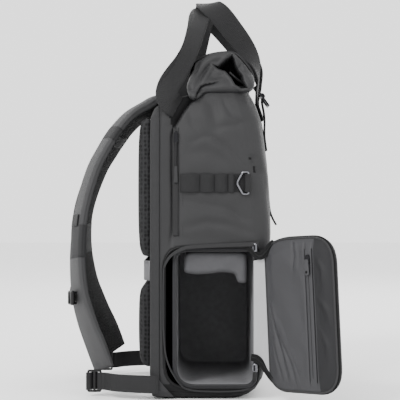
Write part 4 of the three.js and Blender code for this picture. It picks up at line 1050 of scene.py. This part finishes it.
# Strap: its section carried along its path, rippled by noise, with bands and stitches.
def makeStrap(label, side):
    path, across, wide, thick, _ = strapPath(side)
    half, wall = strap["width"] / 2, strap["wall"] / 2
    # Section: crowned cloth face, pinched piping at both edges, and a softer mesh face.
    turn = np.linspace(0, 1, 13)
    reach, rise = np.cos(math.pi * turn) * (half - 2.6), np.sin(math.pi * turn)
    outer = np.column_stack([reach, wall * (0.72 + 0.28 * rise)])
    inner = np.column_stack([-reach, -wall * (0.62 + 0.38 * rise)])
    left = np.array([(-half + 0.6, wall * 0.45), (-half, wall * 0.2), (-half + 1.2, wall * 0.02),
                     (-half + 0.4, -wall * 0.25)])
    right = -left
    section = np.vstack([outer, left, inner, right])
    grid = sweep(path, across, section, wide, thick)
    normal = np.cross(unit(np.gradient(path, axis=0)), across)
    facing = -1 if normal[40, 0] > 0 else 1
    if facing < 0:
        section[:, 1] *= -1
        grid = sweep(path, across, section, wide, thick)
    length = np.r_[0, np.cumsum(np.linalg.norm(np.diff(path, axis=0), axis=1))]
    ripples = 0.7 * lattice(length[:, None] + 0 * grid[..., 0], section[None, :, 0] + 0 * grid[..., 0], 26, 41)
    outward = unit(grid - path[:, None])
    grid = grid + outward * ripples[..., None]
    thing = sweptPiece(f"shoulderStrap{label}", grid, [strapCloth, airMesh])
    columns = len(section)
    mesh = np.zeros(len(thing.data.polygons), int)
    rows = len(path) - 1
    inside = np.zeros((rows, columns), int)
    inside[:, 17:29] = 1
    mesh[: rows * columns] = inside.ravel()
    thing.data.polygons.foreach_set("material_index", mesh)
    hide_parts(f"shoulder_strap_{label.lower()}")
    # Cross bands sewn round the strap, and stitches along both edges.
    normal = np.cross(unit(np.gradient(path, axis=0)), unit(across)) * facing
    for share, breadth in ((0.335, 9), (0.635, 16)):
        k = int(share * len(path))
        rows = slice(k - breadth // 3, k + breadth // 3 + 1)
        band = grid[rows] + unit(grid[rows] - path[rows, None]) * 0.7
        sweptPiece(f"strapBand{label}{k}", band, bandCloth)
    for edge in (-1, 1):
        line = path + across * (edge * (half - 5) * wide)[:, None] + normal * (wall * thick * 0.86)[:, None]
        name = f"strapStitches{label}{'Out' if edge > 0 else 'In'}"
        stitches(name, line[6:-6], normal[len(path) // 2], 3.0, 1.8, 0.3, thread)


# Strap cloth: coated face cloth of the padded straps.
strapCloth = makeMaterial("strapCloth", "2d2d2e", 0.6, [("weave", 0.9, 0.6), ("grain", 1.6, 0.7)], 0.14)
# Band cloth: heavier cloth sewn across the straps.
bandCloth = makeMaterial("bandCloth", "232324", 0.75, [("weave", 1.2, 0.9)], 0.2)
for label, side in (("Left", -1), ("Right", 1)):
    makeStrap(label, side)
print("straps made")

# Bare tab on each strap, sternum strap and its sliders and buckle.
sternum = {"height": 136, "tape": 16, "wall": 1.6, "buckleX": -186.2, "buckleHalf": 23.0, "sag": 3.0}


# Block with rounded edges between two corners in its own frame, placed by a middle and three axes.
def blockPiece(name, middle, axes, size, radius, material, node=None):
    x, y, z = [value / 2 for value in size]
    outline = roundedLine([(a, b, radius * 1.6) for a, b in ((-x, -z), (x, -z), (x, z), (-x, z))], 36)
    axes = unit(np.asarray(axes, float))
    place = lambda grid: np.asarray(middle) + grid @ axes
    thing = slabPiece(name, outline, roundedProfile(-y, y, radius), material, place=place)
    if node:
        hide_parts(node)
    return thing


# Chest strap: sliders on the straps, webbing that sags by a sine between them, and the buckle.
def makeSternum():
    for label, side in (("Left", -1), ("Right", 1)):
        face, normal, across = strapFace(sternum["height"], side)
        axes = [across, normal, upward]
        blockPiece(f"sternumSlider{label}", face + normal * 7, axes, (19, 5.5, 20), 2.2, plastic,
                   f"sternum_slider_{label.lower()}")
        for k, z in enumerate((-7.5, 7.5)):
            blockPiece(f"sternumHook{label}{k}", face + normal * 3.4 + upward * z, axes, (12, 6.0, 3.4), 1.2,
                       plastic)
        # Webbing from the slider to the buckle, sagging a little.
        start = face + normal * 10.6
        end = np.array([sternum["buckleX"] - 0.8, side * sternum["buckleHalf"], sternum["height"] - 1.0])
        t = np.linspace(0, 1, 30)[:, None]
        path = start * (1 - t) + end * t
        path[:, 0] += 1.0 * np.sin(math.pi * t[:, 0])
        path[:, 2] -= sternum["sag"] * np.sin(math.pi * t[:, 0])
        grid = sweep(path, upward, tapeSection(sternum["tape"], sternum["wall"]))
        tape = sweptPiece(f"sternumWebbing{label}", grid, webbing)
        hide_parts(f"sternum_webbing_{label.lower()}")
    axes = [(0, 1, 0), (-1, 0, 0), (0, 0, 1)]
    blockPiece("sternumBuckle", (sternum["buckleX"], 0, sternum["height"]), axes, (43, 9, 23), 3.2,
               plastic, "sternum_buckle")
    for side in (-1, 1):
        place = (sternum["buckleX"], side * 13.5, sternum["height"])
        blockPiece(f"sternumProng{side + 1}", place, axes, (9, 10, 17), 2.0, plastic)


# Tabs: a short tape that follows each strap's outer face.
def makeTabs():
    for label, side in (("Left", -1), ("Right", 1)):
        rows = []
        for z in np.linspace(252, 236, 14):
            place, _, across = strapFace(z, side, 1.0)
            rows.append(np.r_[place, across])
        rows = np.array(rows)
        path = evenly(rows[:, :3], 14)
        grid = sweep(path, rows[:, 3:], tapeSection(40, 1.6))
        tab = sweptPiece(f"strapTab{label}", grid, bandCloth)
        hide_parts(f"strap_tab_{label.lower()}")


makeTabs()
makeSternum()
print("sternum made")

# Handles: half of each loop, from its foot up to the middle of its top. Rows hold the place in mm and the
# way the webbing's width lies.
handle = {"width": 32, "wall": 3.0}
handleRear = [
    (-31.5, 136.0, 399.5, 0.3, 0, 1, 0.9), (-38, 142.6, 404.5, 0.42, 0.1, 0.95, 1),
    (-43.5, 144.4, 412, 0.66, 0.1, 0.75, 1), (-45, 142.8, 421, 0.85, 0, 0.5, 1),
    (-41, 139, 433, 0.95, -0.05, 0.15, 1), (-32, 135, 447.5, 0.95, -0.1, -0.28, 0.95),
    (-21.5, 131.5, 464, 0.93, -0.1, -0.35, 0.84), (-12.5, 124, 484, 0.95, -0.1, -0.28, 0.78),
    (-5.5, 102, 511, 0.97, -0.1, -0.15, 0.82), (-1, 74, 532, 1, 0, -0.12, 0.95), (3, 50, 543, 1, 0, -0.12, 1),
    (9, 25, 550.5, 1, 0, -0.12, 1), (12, 0, 553, 1, 0, -0.12, 1),
]
handleFront = [
    (89.6, 63.9, 386.1, 0, -1, 0, 1), (84.6, 63.9, 400.9, 0, -1, 0, 1), (80.9, 63.9, 411.5, 0, -1, 0, 1),
    (81.3, 63.9, 429.4, 0.1, -1, 0, 1), (82.8, 64.6, 446.4, 0.12, -1, 0.1, 1), (78.4, 68, 469, 0.45, -0.8, 0.3, 1),
    (61.5, 72, 493, 0.8, -0.3, 0.5, 1), (46, 75, 514, 0.85, -0.15, 0.5, 1), (29, 75, 535.5, 0.85, 0, 0.5, 1),
    (14, 60, 551, 0.93, 0, 0.3, 1), (10, 28, 559, 1, 0, 0.05, 1), (10, 0, 561, 1, 0, 0, 1),
]
# The fold of the rear handle's leg: rows of height and the X behind which the webbing is sunk in and painted in
# shade, a darker copy of its cloth where the leg turns its back.
handleFold = {"heights": [424, 432.5, 453, 465.5, 488], "places": [-60, -55, -37.8, -32.3, -22], "deep": 5}


# How far a point of the handle lies behind the fold's line, and -1 where there is no fold.
def behindFold(points):
    behind = np.interp(points[..., 2], handleFold["heights"], handleFold["places"]) - points[..., 0]
    return np.where((points[..., 2] > 428) & (points[..., 2] < 487) & (np.abs(points[..., 1]) > 112), behind, -1)


# Handle: one half of the table, the same mirrored, and the webbing's bowed section carried along them. The far
# leg leans forward of the near one by a bell over its length.
def makeHandle(name, table, node, lean):
    half = np.array(table, float)
    half[:, 1] *= -1
    half[:, 4] *= -1
    other = half[:-1][::-1].copy()
    other[:, [1, 4]] *= -1
    other[:, 0] += lean * np.sin(math.pi * np.linspace(0, 1, len(other)))
    rows = through(np.vstack([half, other]), 12)
    path, across = rows[:, :3], rows[:, 3:6]
    section = tapeSection(handle["width"], handle["wall"], 16)
    bow = 0.5 * np.cos(section[:, 0] / handle["width"] * math.pi)
    section = np.column_stack([section[:, 0], section[:, 1] + bow])
    grid = sweep(path, across, section, rows[:, 6])
    sink = handleFold["deep"] * ease(behindFold(grid), 0, 9)
    grid[..., 1] -= np.sign(grid[..., 1]) * sink
    loop = sweptPiece(name, grid, [handleCloth, handlePaintedShade])
    # Faces behind the fold's line take the darker copy of the webbing: painted shade on the turned-back leg.
    middles = np.zeros(len(loop.data.polygons) * 3)
    loop.data.polygons.foreach_get("center", middles)
    turned = behindFold(middles.reshape(-1, 3) / toMetres) > 0
    loop.data.polygons.foreach_set("material_index", turned.astype(np.int32))
    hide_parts(node)


# Painted shade on the handle webbing where a leg is folded over: a smoother, darker copy of its cloth.
handlePaintedShade = makeMaterial("handlePaintedShade", "0b0b0c", 0.8, [("weave", 1.0, 0.6)], 0.2)
# Handle webbing: broad ribbed tape, slightly glossier on its ribs.
handleCloth = makeMaterial("handleCloth", "161617", 0.62, [("rib", 2.0, 0.7), ("weave", 1.0, 0.6)], 0.3, 0.1, 10)
makeHandle("handleRear", handleRear, "handle_rear", 5)
makeHandle("handleFront", handleFront, "handle_front", 9)
print("handles made")

# Roll: rows of the cloth's middle line in the side view, from its tongue round the front, top and rear and
# back under, as X and height above the top of the collar.
roll = {"half": 118, "wall": 2.6, "floor": 431.6, "crease": 1.5, "endDeep": 5}
rollTable = np.array([
    (41.7, 19.7), (54.3, 8.5), (65.1, 2.4), (71.4, 3.8), (73.7, 11.3), (68.7, 23.5), (57, 37.6), (45.3, 45.4),
    (27.3, 45.4), (7.5, 40.9), (-8.7, 31.5), (-13.4, 18.8), (-12.3, 6.1), (-5.1, 1.6), (7.5, 1.6), (21, 4.2),
    (32.7, 9.4),
])


# Roll: the spiral's two faces at each place across the bag, crumpled by noise and drawn in at its ends.
def makeRoll():
    line = evenly(through(rollTable, 8), 150)
    tangent = unit(np.gradient(line, axis=0))
    normal = np.column_stack([-tangent[:, 1], tangent[:, 0]])
    half = roll["half"] - roll["endDeep"]
    ys = np.linspace(-half, half, 80)
    share = np.linspace(0, 1, len(line))
    s, y = np.meshgrid(share, ys)
    end = ease(np.abs(y), half - 46, half)
    crumple = roll["crease"] * (lattice(s * 170 + 0.25 * y, y, 24, 51) + 0.5 * lattice(s * 170, y, 10, 52))
    offset = crumple * (1 - end) * ease(s, 0, 0.08) * ease(s, 1, 0.92) - 1.0 * end
    wallHalf = roll["wall"] / 2
    rows = []
    for k in range(len(ys)):
        middle = line + normal * offset[k][:, None]
        middle[:, 1] = np.maximum(middle[:, 1], wallHalf + 0.1)
        loop = np.vstack([middle + normal * wallHalf, (middle - normal * wallHalf)[::-1]])
        rows.append(np.column_stack([loop[:, 0], np.full(len(loop), ys[k]), loop[:, 1] + roll["floor"]]))
    cloth = sweptPiece("rollTop", np.stack(rows), tarpaulin)
    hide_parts("roll_top")
    length = np.linalg.norm(np.diff(line, axis=0), axis=1).sum()
    return cloth, (float(2 * half * toMetres), float(length * toMetres))


# Ends of the roll, in X and Z: the outline of the gathered cloth, the mouth that is left open in it, and its
# folds. Tall is the height of a fold, and below zero it is a hollow.
rollEnd = {
    "outline": [
        (-13.8, 413.1), (-16.1, 422), (-17, 431), (-13.1, 442.7), (-8.7, 453.1), (-5.8, 462.4), (0, 466.9),
        (6.8, 470.9), (16.4, 475.9), (24.8, 477.2), (33.9, 478.2), (45, 476.4), (55.2, 468.6), (63.5, 458.8),
        (71.1, 447.8), (74, 438.6), (73.6, 429.6), (70.2, 424.4), (64.9, 422.2), (50, 421.8), (30, 421.6),
        (8.3, 421.0), (1.4, 416), (-4.8, 411.4), (-10, 410.6),
    ],
    "mouth": [
        (17, 460.5), (25, 458.5), (34, 466.5), (44.6, 474.6), (48.2, 468), (50.4, 459), (54, 452), (59.2, 445),
        (60.8, 436.5), (66, 426.4), (56.5, 425.4), (47.6, 431), (42.4, 441), (35, 450.4), (24, 454.2),
    ],
    "under": [(-7.7, 411.5), (-4.4, 421.8), (0.1, 429), (6.6, 432.8), (17.8, 434.6), (33.6, 438.4)],
    "folds": [
        {"line": [(-12, 420), (-9, 436), (-2, 449), (8, 461), (22, 470), (36, 474)], "tall": 2.6, "wide": 4.5},
        {"line": [(-4, 432), (2, 445), (10, 457), (20, 466)], "tall": -2.2, "wide": 3.0},
        {"line": [(5, 436), (10, 446), (16, 456.5)], "tall": 3.4, "wide": 2.8},
        {"line": [(12, 441), (24, 441), (33, 446)], "tall": -1.6, "wide": 3.5},
        {"line": [(17, 450), (26, 449), (35, 444)], "tall": 1.6, "wide": 2.6},
        {"line": [(30, 466), (40, 474)], "tall": 2.0, "wide": 3.0},
        {"line": [(62, 458), (60, 448), (66, 440), (70, 430)], "tall": 2.4, "wide": 3.2},
        {"line": [(58, 462), (54, 456), (62, 446)], "tall": -1.8, "wide": 2.2},
        {"line": [(20, 425), (34, 430), (44, 428)], "tall": 1.4, "wide": 4.5},
    ],
    "deep": 42, "round": 9, "drop": 7,
}


# How far an end of the roll stands out at a place: a plane that leans out to the collar's seam, rounded down
# to its outline, with folds, an overlap that drops from above to below, and the open mouth sunk deep.
def rollEndOut(x, z):
    outline = through(np.vstack([rollEnd["outline"], rollEnd["outline"][:1]]), 6)[:-1]
    inside = -signedDistance(x, z, outline)
    near = 1 - np.clip(inside / rollEnd["round"], 0, 1)
    out = roll["half"] + 1 + 14 * ease(z, 456, 424) + 7 * ease(z, 424, 414)
    out = out - rollEnd["drop"] * (1 - np.sqrt(1 - near**2))
    for fold in rollEnd["folds"]:
        away, place = distanceTo(x, z, fold["line"])
        out = out + fold["tall"] * bell(away, fold["wide"]) * np.sin(math.pi * np.clip(0.15 + 0.7 * place, 0, 1))
    away, place = distanceTo(x, z, rollEnd["under"])
    line = np.asarray(rollEnd["under"])
    level = np.interp(x, line[:, 0], line[:, 1])
    above = np.where((z > level) | (x < line[0, 0]), 1.0, -1.0)
    strong = ease(place, 1.0, 0.7)
    out = out + strong * np.where(above > 0, 2.4 * np.exp(-away / 7), -5.0 * np.exp(-away / 3.4))
    mouth = signedDistance(x, z, np.asarray(rollEnd["mouth"]))
    rim = 1.4 * bell(mouth - 1.6, 1.6) * (mouth > 0)
    return out + rim - rollEnd["deep"] * ease(mouth, 0.2, -2.6)


# Ends of the roll: sheets cut to the outline and set out by rollEndOut, with near-black painted shade inside the
# mouth.
def makeRollEnds():
    outline = through(np.vstack([rollEnd["outline"], rollEnd["outline"][:1]]), 6)[:-1]
    places, faces = cutPlate(outline, 1.1)
    out = rollEndOut(places[:, 0], places[:, 1])
    middles = places[faces].mean(axis=1)
    # Faces deep inside the mouth take the near-black material: painted shade of the rolled end's hollow.
    dark = signedDistance(middles[:, 0], middles[:, 1], np.asarray(rollEnd["mouth"])) < -0.7
    ends = []
    for label, side in (("Left", -1), ("Right", 1)):
        points = np.column_stack([places[:, 0], side * out, places[:, 1]])
        cloth = makePiece(f"rollEnd{label}", points, faces[:, ::side], [tarpaulin, darkThreadAndPaintedShade], places)
        cloth.data.polygons.foreach_set("material_index", dark.astype(int))
        giveWall(cloth, 1.2)
        ends.append(cloth)
    return ends


rollCloth, rollFlat = makeRoll()
makeRollEnds()
print("roll made, flat size", rollFlat)

# Back pads: foam under mesh with a channel down the middle. Settled by a cloth simulation with pressure.
pad = {"width": 212, "wall": 19, "face": -69.3, "channel": 26, "deep": 9, "voxel": 5, "cap": 7, "pressure": 3.0}


# Pad's closed start shape: rows up, each a half stadium with a groove, set in from its final size.
def padGrid(low, high):
    heights = np.r_[low + 2, low + 4, low + 9, np.linspace(low + 18, high - 18, 24), high - 9, high - 4, high - 2]
    reach = np.minimum(heights - low, high - heights)
    swell = np.sqrt(np.clip(1 - (1 - np.clip(reach / 16, 0, 1)) ** 2, 0.02, 1))
    a = np.linspace(-1, 1, 49)
    across = a * (pad["width"] / 2 - 3)
    edge = np.sqrt(np.clip(1 - np.clip((np.abs(a) - 0.82) / 0.18, 0, 1) ** 2, 0.03, 1))
    groove = pad["deep"] * bell(across, pad["channel"] / 2) / (pad["wall"] - 4)
    out = (pad["wall"] - 4.0) * edge[None] * swell[:, None] * (1 - groove[None])
    rows = []
    for k, z in enumerate(heights):
        narrow = 0.94 + 0.06 * swell[k]
        front = np.column_stack([pad["face"] - 1.2 - out[k], across * narrow, np.full(len(a), z)])
        back = np.column_stack([np.full(len(a), pad["face"]), across[::-1] * narrow, np.full(len(a), z)])
        rows.append(np.vstack([front, back]))
    return np.stack(rows)


# Remeshes a closed piece evenly, swells it with cloth pressure, and keeps every point within the cap of
# where it started. Points that the test holds stay where they are.
def settle(thing, voxel, pressure, cap, held):
    frames = 20
    scene = bpy.context.scene
    bpy.context.view_layer.objects.active = thing
    remesh = thing.modifiers.new("even", "REMESH")
    remesh.mode = "VOXEL"
    remesh.voxel_size = voxel * toMetres
    remesh.use_smooth_shade = True
    applyShape(thing)
    start = np.empty(len(thing.data.vertices) * 3)
    thing.data.vertices.foreach_get("co", start)
    start = start.reshape(-1, 3)
    group = thing.vertex_groups.new(name="held")
    for index in np.flatnonzero(held(start / toMetres)):
        group.add([int(index)], 1.0, "REPLACE")
    cloth = thing.modifiers.new("cloth", "CLOTH")
    cloth.settings.use_pressure = True
    cloth.settings.uniform_pressure_force = pressure
    cloth.settings.vertex_group_mass = "held"
    cloth.settings.effector_weights.gravity = 0
    cloth.settings.quality = 5
    cloth.point_cache.frame_start = 1
    cloth.point_cache.frame_end = frames
    for number in range(1, frames + 1):
        scene.frame_set(number)
    applyShape(thing)
    scene.frame_set(1)
    place = np.empty(len(start) * 3)
    thing.data.vertices.foreach_get("co", place)
    move = place.reshape(-1, 3) - start
    reach = np.linalg.norm(move, axis=1, keepdims=True)
    move *= np.minimum(1, cap * toMetres / np.maximum(reach, 1e-9))
    thing.data.vertices.foreach_set("co", (start + move).ravel())
    thing.data.update()
    thing.data.polygons.foreach_set("use_smooth", [True] * len(thing.data.polygons))
    fine = thing.modifiers.new("fine", "SUBSURF")
    fine.levels = fine.render_levels = 1


# Replaces a thing's mesh by what its modifiers make of it.
def applyShape(thing):
    graph = bpy.context.evaluated_depsgraph_get()
    graph.update()
    shaped = bpy.data.meshes.new_from_object(thing.evaluated_get(graph), depsgraph=graph)
    old = thing.data
    name = old.name
    thing.modifiers.clear()
    thing.data = shaped
    bpy.data.meshes.remove(old)
    shaped.name = name


# Light band, from its end to the middle of the back, as X and Y.
luggage = {"route": [(-70.4, -106), (-70.6, -99), (-77.6, -88), (-78.4, -60), (-78.4, 0)],
           "height": 174, "width": 28, "wall": 2.2}


# Pads and the light band between them.
def makePads():
    for name, node, low, high in (("backPadUpper", "back_pad_upper", 191, 391),
                                  ("backPadLower", "back_pad_lower", 37, 157)):
        thing = sweptPiece(name, padGrid(low, high), padMesh)
        held = lambda p: (p[:, 0] > pad["face"] - 2.5) | (np.abs(p[:, 1]) < 3.5)
        settle(thing, pad["voxel"], pad["pressure"], pad["cap"], held)
        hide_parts(node)
    # Light band between the pads, which a trolley's bar goes through.
    half = luggage["route"]
    route = half + [(x, -y) for x, y in half[-2::-1]]
    path = levelled(through(route, 10), luggage["height"])
    grid = sweep(path, upward, tapeSection(luggage["width"], luggage["wall"]))
    band = sweptPiece("luggageBand", grid, paleBand)
    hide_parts("luggage_band")


# Mesh of the pads: speckled by its holes, by place because the pads' UVs are lost in the remesh.
padMesh = makeMaterial("padMesh", "1c1c1d", 0.9, [("grain", 2.4, 1.2)], 0.8, 0.0, holes=6.0)
makePads()
print("pads made")

# Side webbing: stitched places along X, in mm, and the fold round the ring's bar.
sideTape = {"width": 25, "wall": 1.6, "middle": 296, "bulge": 3.4, "ringX": 66, "ringOut": 2.8, "face": -143.1}
sideStitches = [-27, -0.5, 19.5, 38.1, 47.4]


# Side webbing: it rises in a loop between each two stitched places and turns round the ring's bar.
def makeSideTape():
    route = [(sideStitches[0], 0)]
    for before, here in zip(sideStitches, sideStitches[1:]):
        for part, rise in ((0.12, 0.55), (0.3, 0.95), (0.5, 1.0), (0.7, 0.95), (0.88, 0.55)):
            route.append((before + (here - before) * part, sideTape["bulge"] * rise))
        route.append((here, 0))
    for angle in range(-90, 91, 18):
        route.append((sideTape["ringX"] + sideTape["ringOut"] * math.cos(math.radians(angle)),
                      sideTape["ringOut"] * (1 + math.sin(math.radians(angle)))))
    route += [(62.6, 4.8), (61.0, 1.9)]
    path = np.array([(x, sideTape["face"] - out, sideTape["middle"]) for x, out in route])
    grid = sweep(path, upward, tapeSection(sideTape["width"], sideTape["wall"]))
    tape = sweptPiece("sideWebbing", grid, webbing)
    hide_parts("side_webbing")
    # Bar tacks: a zigzag of thread across the tape at each stitched place.
    for number, x in enumerate(sideStitches[1:-1]):
        z = sideTape["middle"] + np.linspace(-10.5, 10.5, 15)
        wave = x + np.where(np.arange(15) % 2, 0.9, -0.9)
        path = np.column_stack([wave, np.full(15, sideTape["face"] - 1.0), z])
        sweptPiece(f"sideTack{number}", sweep(path, forward, roundSection(0.35, 6)),
                           darkThreadAndPaintedShade)
    box = np.array([(-23.5, -10), (-14, -10), (-14, 10), (-23.5, 10), (-23.5, -10)], float)
    path = evenly(upright(box + [0, sideTape["middle"]], sideTape["face"] - 2.1), 60)
    stitches("sideBoxStitches", path, (0, -1, 0), 2.2, 1.4, 0.3, thread)


ringSizes = {"wire": 3.2, "shoulder": 7.5, "reach": 16, "play": 0.9}


# Ring: round wire along a D with a pointed tip, riding on its own body.
def makeRing():
    half = sideTape["width"] / 2 + ringSizes["play"] + ringSizes["wire"] / 2
    shoulder, reach = ringSizes["shoulder"], ringSizes["reach"]
    outline = roundedLine([(0, -half, 2.6), (0, half, 2.6), (-shoulder, half, 1.9), (-reach, 0, 3.8),
                           (-shoulder, -half, 1.9)], 90)
    middle = np.column_stack([outline[:, 0] + sideTape["ringX"], np.full(90, sideTape["face"] - sideTape["ringOut"]),
                              outline[:, 1] + sideTape["middle"]])
    ring = ringPiece("sideRing", wireRing(middle, ringSizes["wire"] / 2, 12), brightMetal, body="ring")
    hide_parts("d_ring")


makeSideTape()
makeRing()
print("side webbing made")


sideZip = {"x": -33.0, "low": 224, "high": 372}


# Side zip beside the valley: a strip of tape with two lips, a slider, a cord, a rubber pull and a row of stitches.
def makeSideZip():
    heights = np.linspace(sideZip["low"], sideZip["high"], 90)
    strip = sideBand("sideZipTape", np.column_stack([np.full(90, sideZip["x"]), heights]), 8, 1.3, zipCloth)
    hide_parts("side_zip")
    # The rear lip along the valley is near-black painted shade in the seam's groove; the front lip is zip cloth.
    for number, x in enumerate((-36.2, -29.6)):
        line = np.column_stack([np.full(90, x), heights])
        sideBand(f"sideZipLip{number}", line, 1.6, 1.6, darkThreadAndPaintedShade if number == 0 else zipCloth)
    middle = onSide(sideZip["x"], 345, -1, 2.2)
    y = middle[1]
    slider = roundedLine([(-36, 351, 1.6), (-30, 351, 1.6), (-30.6, 367, 1.6), (-35.4, 367, 1.6)], 30)
    body = slabPiece("sideZipSlider", slider, roundedProfile(y - 2.6, y + 0.2, 0.9), darkMetal)
    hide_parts("side_zip_pull")
    cord = np.column_stack([np.full(30, sideZip["x"]) + 0.4 * np.sin(np.linspace(0, 5, 30)), np.full(30, y - 1.6),
                            np.linspace(352, 316, 30)])
    sweptPiece("sideZipCord", sweep(cord, forward, roundSection(1.3, 8)), webbing)
    tab = roundedLine([(-36.2, 296, 1.6), (-29.8, 296, 1.6), (-30.6, 320, 2.2), (-35.4, 320, 2.2)], 34)
    slabPiece("sideZipPull", tab, roundedProfile(y - 3.4, y - 0.6, 1.2), rimCloth)
    line = np.column_stack([np.full(60, -23.5), np.linspace(226, 368, 60)])
    path = onSide(line[:, 0], line[:, 1], -1, 0.1)
    stitches("sideSeamStitches", path, (0, -1, 0), 3.4, 1.8, 0.35, darkThreadAndPaintedShade)


# Zip tape: coated, dark grey.
zipCloth = makeMaterial("zipCloth", "141415", 0.55, [("weave", 0.9, 0.6)], 0.1, 0.05, 8)
makeSideZip()
print("side zip made")


# Solids of the frame that stay as they are, each in its material: the front strap and its hook, and the
# straps' lower ends.
def makeEnds():
    dressed = {"closure_strap": webbing, "closure_hook": darkMetal}
    for label in ("left", "right"):
        dressed |= {f"ladder_lock_{label}": plastic, f"strap_webbing_{label}": webbing, f"wing_tab_{label}": twill}
    for name, material in dressed.items():
        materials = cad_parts[name].data.materials
        materials.clear()
        materials.append(material)


makeEnds()
print("ends made")


# Camera: its distance and height in metres, and its lens and sensor in mm. It is level, on the bag's left.
eye = {"distance": 1.8, "height": 0.273, "lens": 109.3, "sensor": 36}


# Camera on the Y axis that looks along +Y.
def makeCamera():
    data = bpy.data.cameras.new("camera")
    data.sensor_width = eye["sensor"]
    data.lens = eye["lens"]
    thing = bpy.data.objects.new("camera", data)
    thing.location = (0, -eye["distance"], eye["height"])
    thing.rotation_euler = (math.pi / 2, 0, 0)
    bpy.context.scene.collection.objects.link(thing)
    bpy.context.scene.camera = thing


# Floor's half size and height in mm, the sky's strength, and the lamps in metres and watts.
stage = {
    "size": 6000, "low": -0.3, "sky": 2.0, "aim": (0.03, 0, 0.25),
    "lamps": [
        {"name": "key", "place": (-1.5, -1.9, 2.1), "size": 0.8, "power": 75},
        {"name": "fill", "place": (1.6, -1.8, 0.9), "size": 1.4, "power": 12},
        {"name": "rim", "place": (0.6, 1.8, 1.6), "size": 1.0, "power": 20},
    ],
}


# Stage: a plain floor, an even pale sky, and three soft lamps that aim at the bag's middle.
def makeStage():
    paper = makeMaterial("paper", "f4f4f4", 0.9, mottle=0.0)
    size, low = stage["size"], stage["low"]
    corners = [(-size, -size, low), (size, -size, low), (size, size, low), (-size, size, low)]
    floor = makePiece("floor", corners, [(0, 1, 2, 3)], paper, body=None)
    world = bpy.data.worlds.new("studio")
    world.use_nodes = True
    world.node_tree.nodes["Background"].inputs["Color"].default_value = (1, 1, 1, 1)
    world.node_tree.nodes["Background"].inputs["Strength"].default_value = stage["sky"]
    bpy.context.scene.world = world
    for lamp in stage["lamps"]:
        light = bpy.data.lights.new(lamp["name"], "AREA")
        light.energy = lamp["power"]
        light.size = lamp["size"]
        thing = bpy.data.objects.new(lamp["name"], light)
        thing.location = lamp["place"]
        aim = Vector(stage["aim"]) - thing.location
        thing.rotation_euler = aim.to_track_quat("-Z", "Y").to_euler()
        bpy.context.scene.collection.objects.link(thing)


makeCamera()
makeStage()
print("stage made")
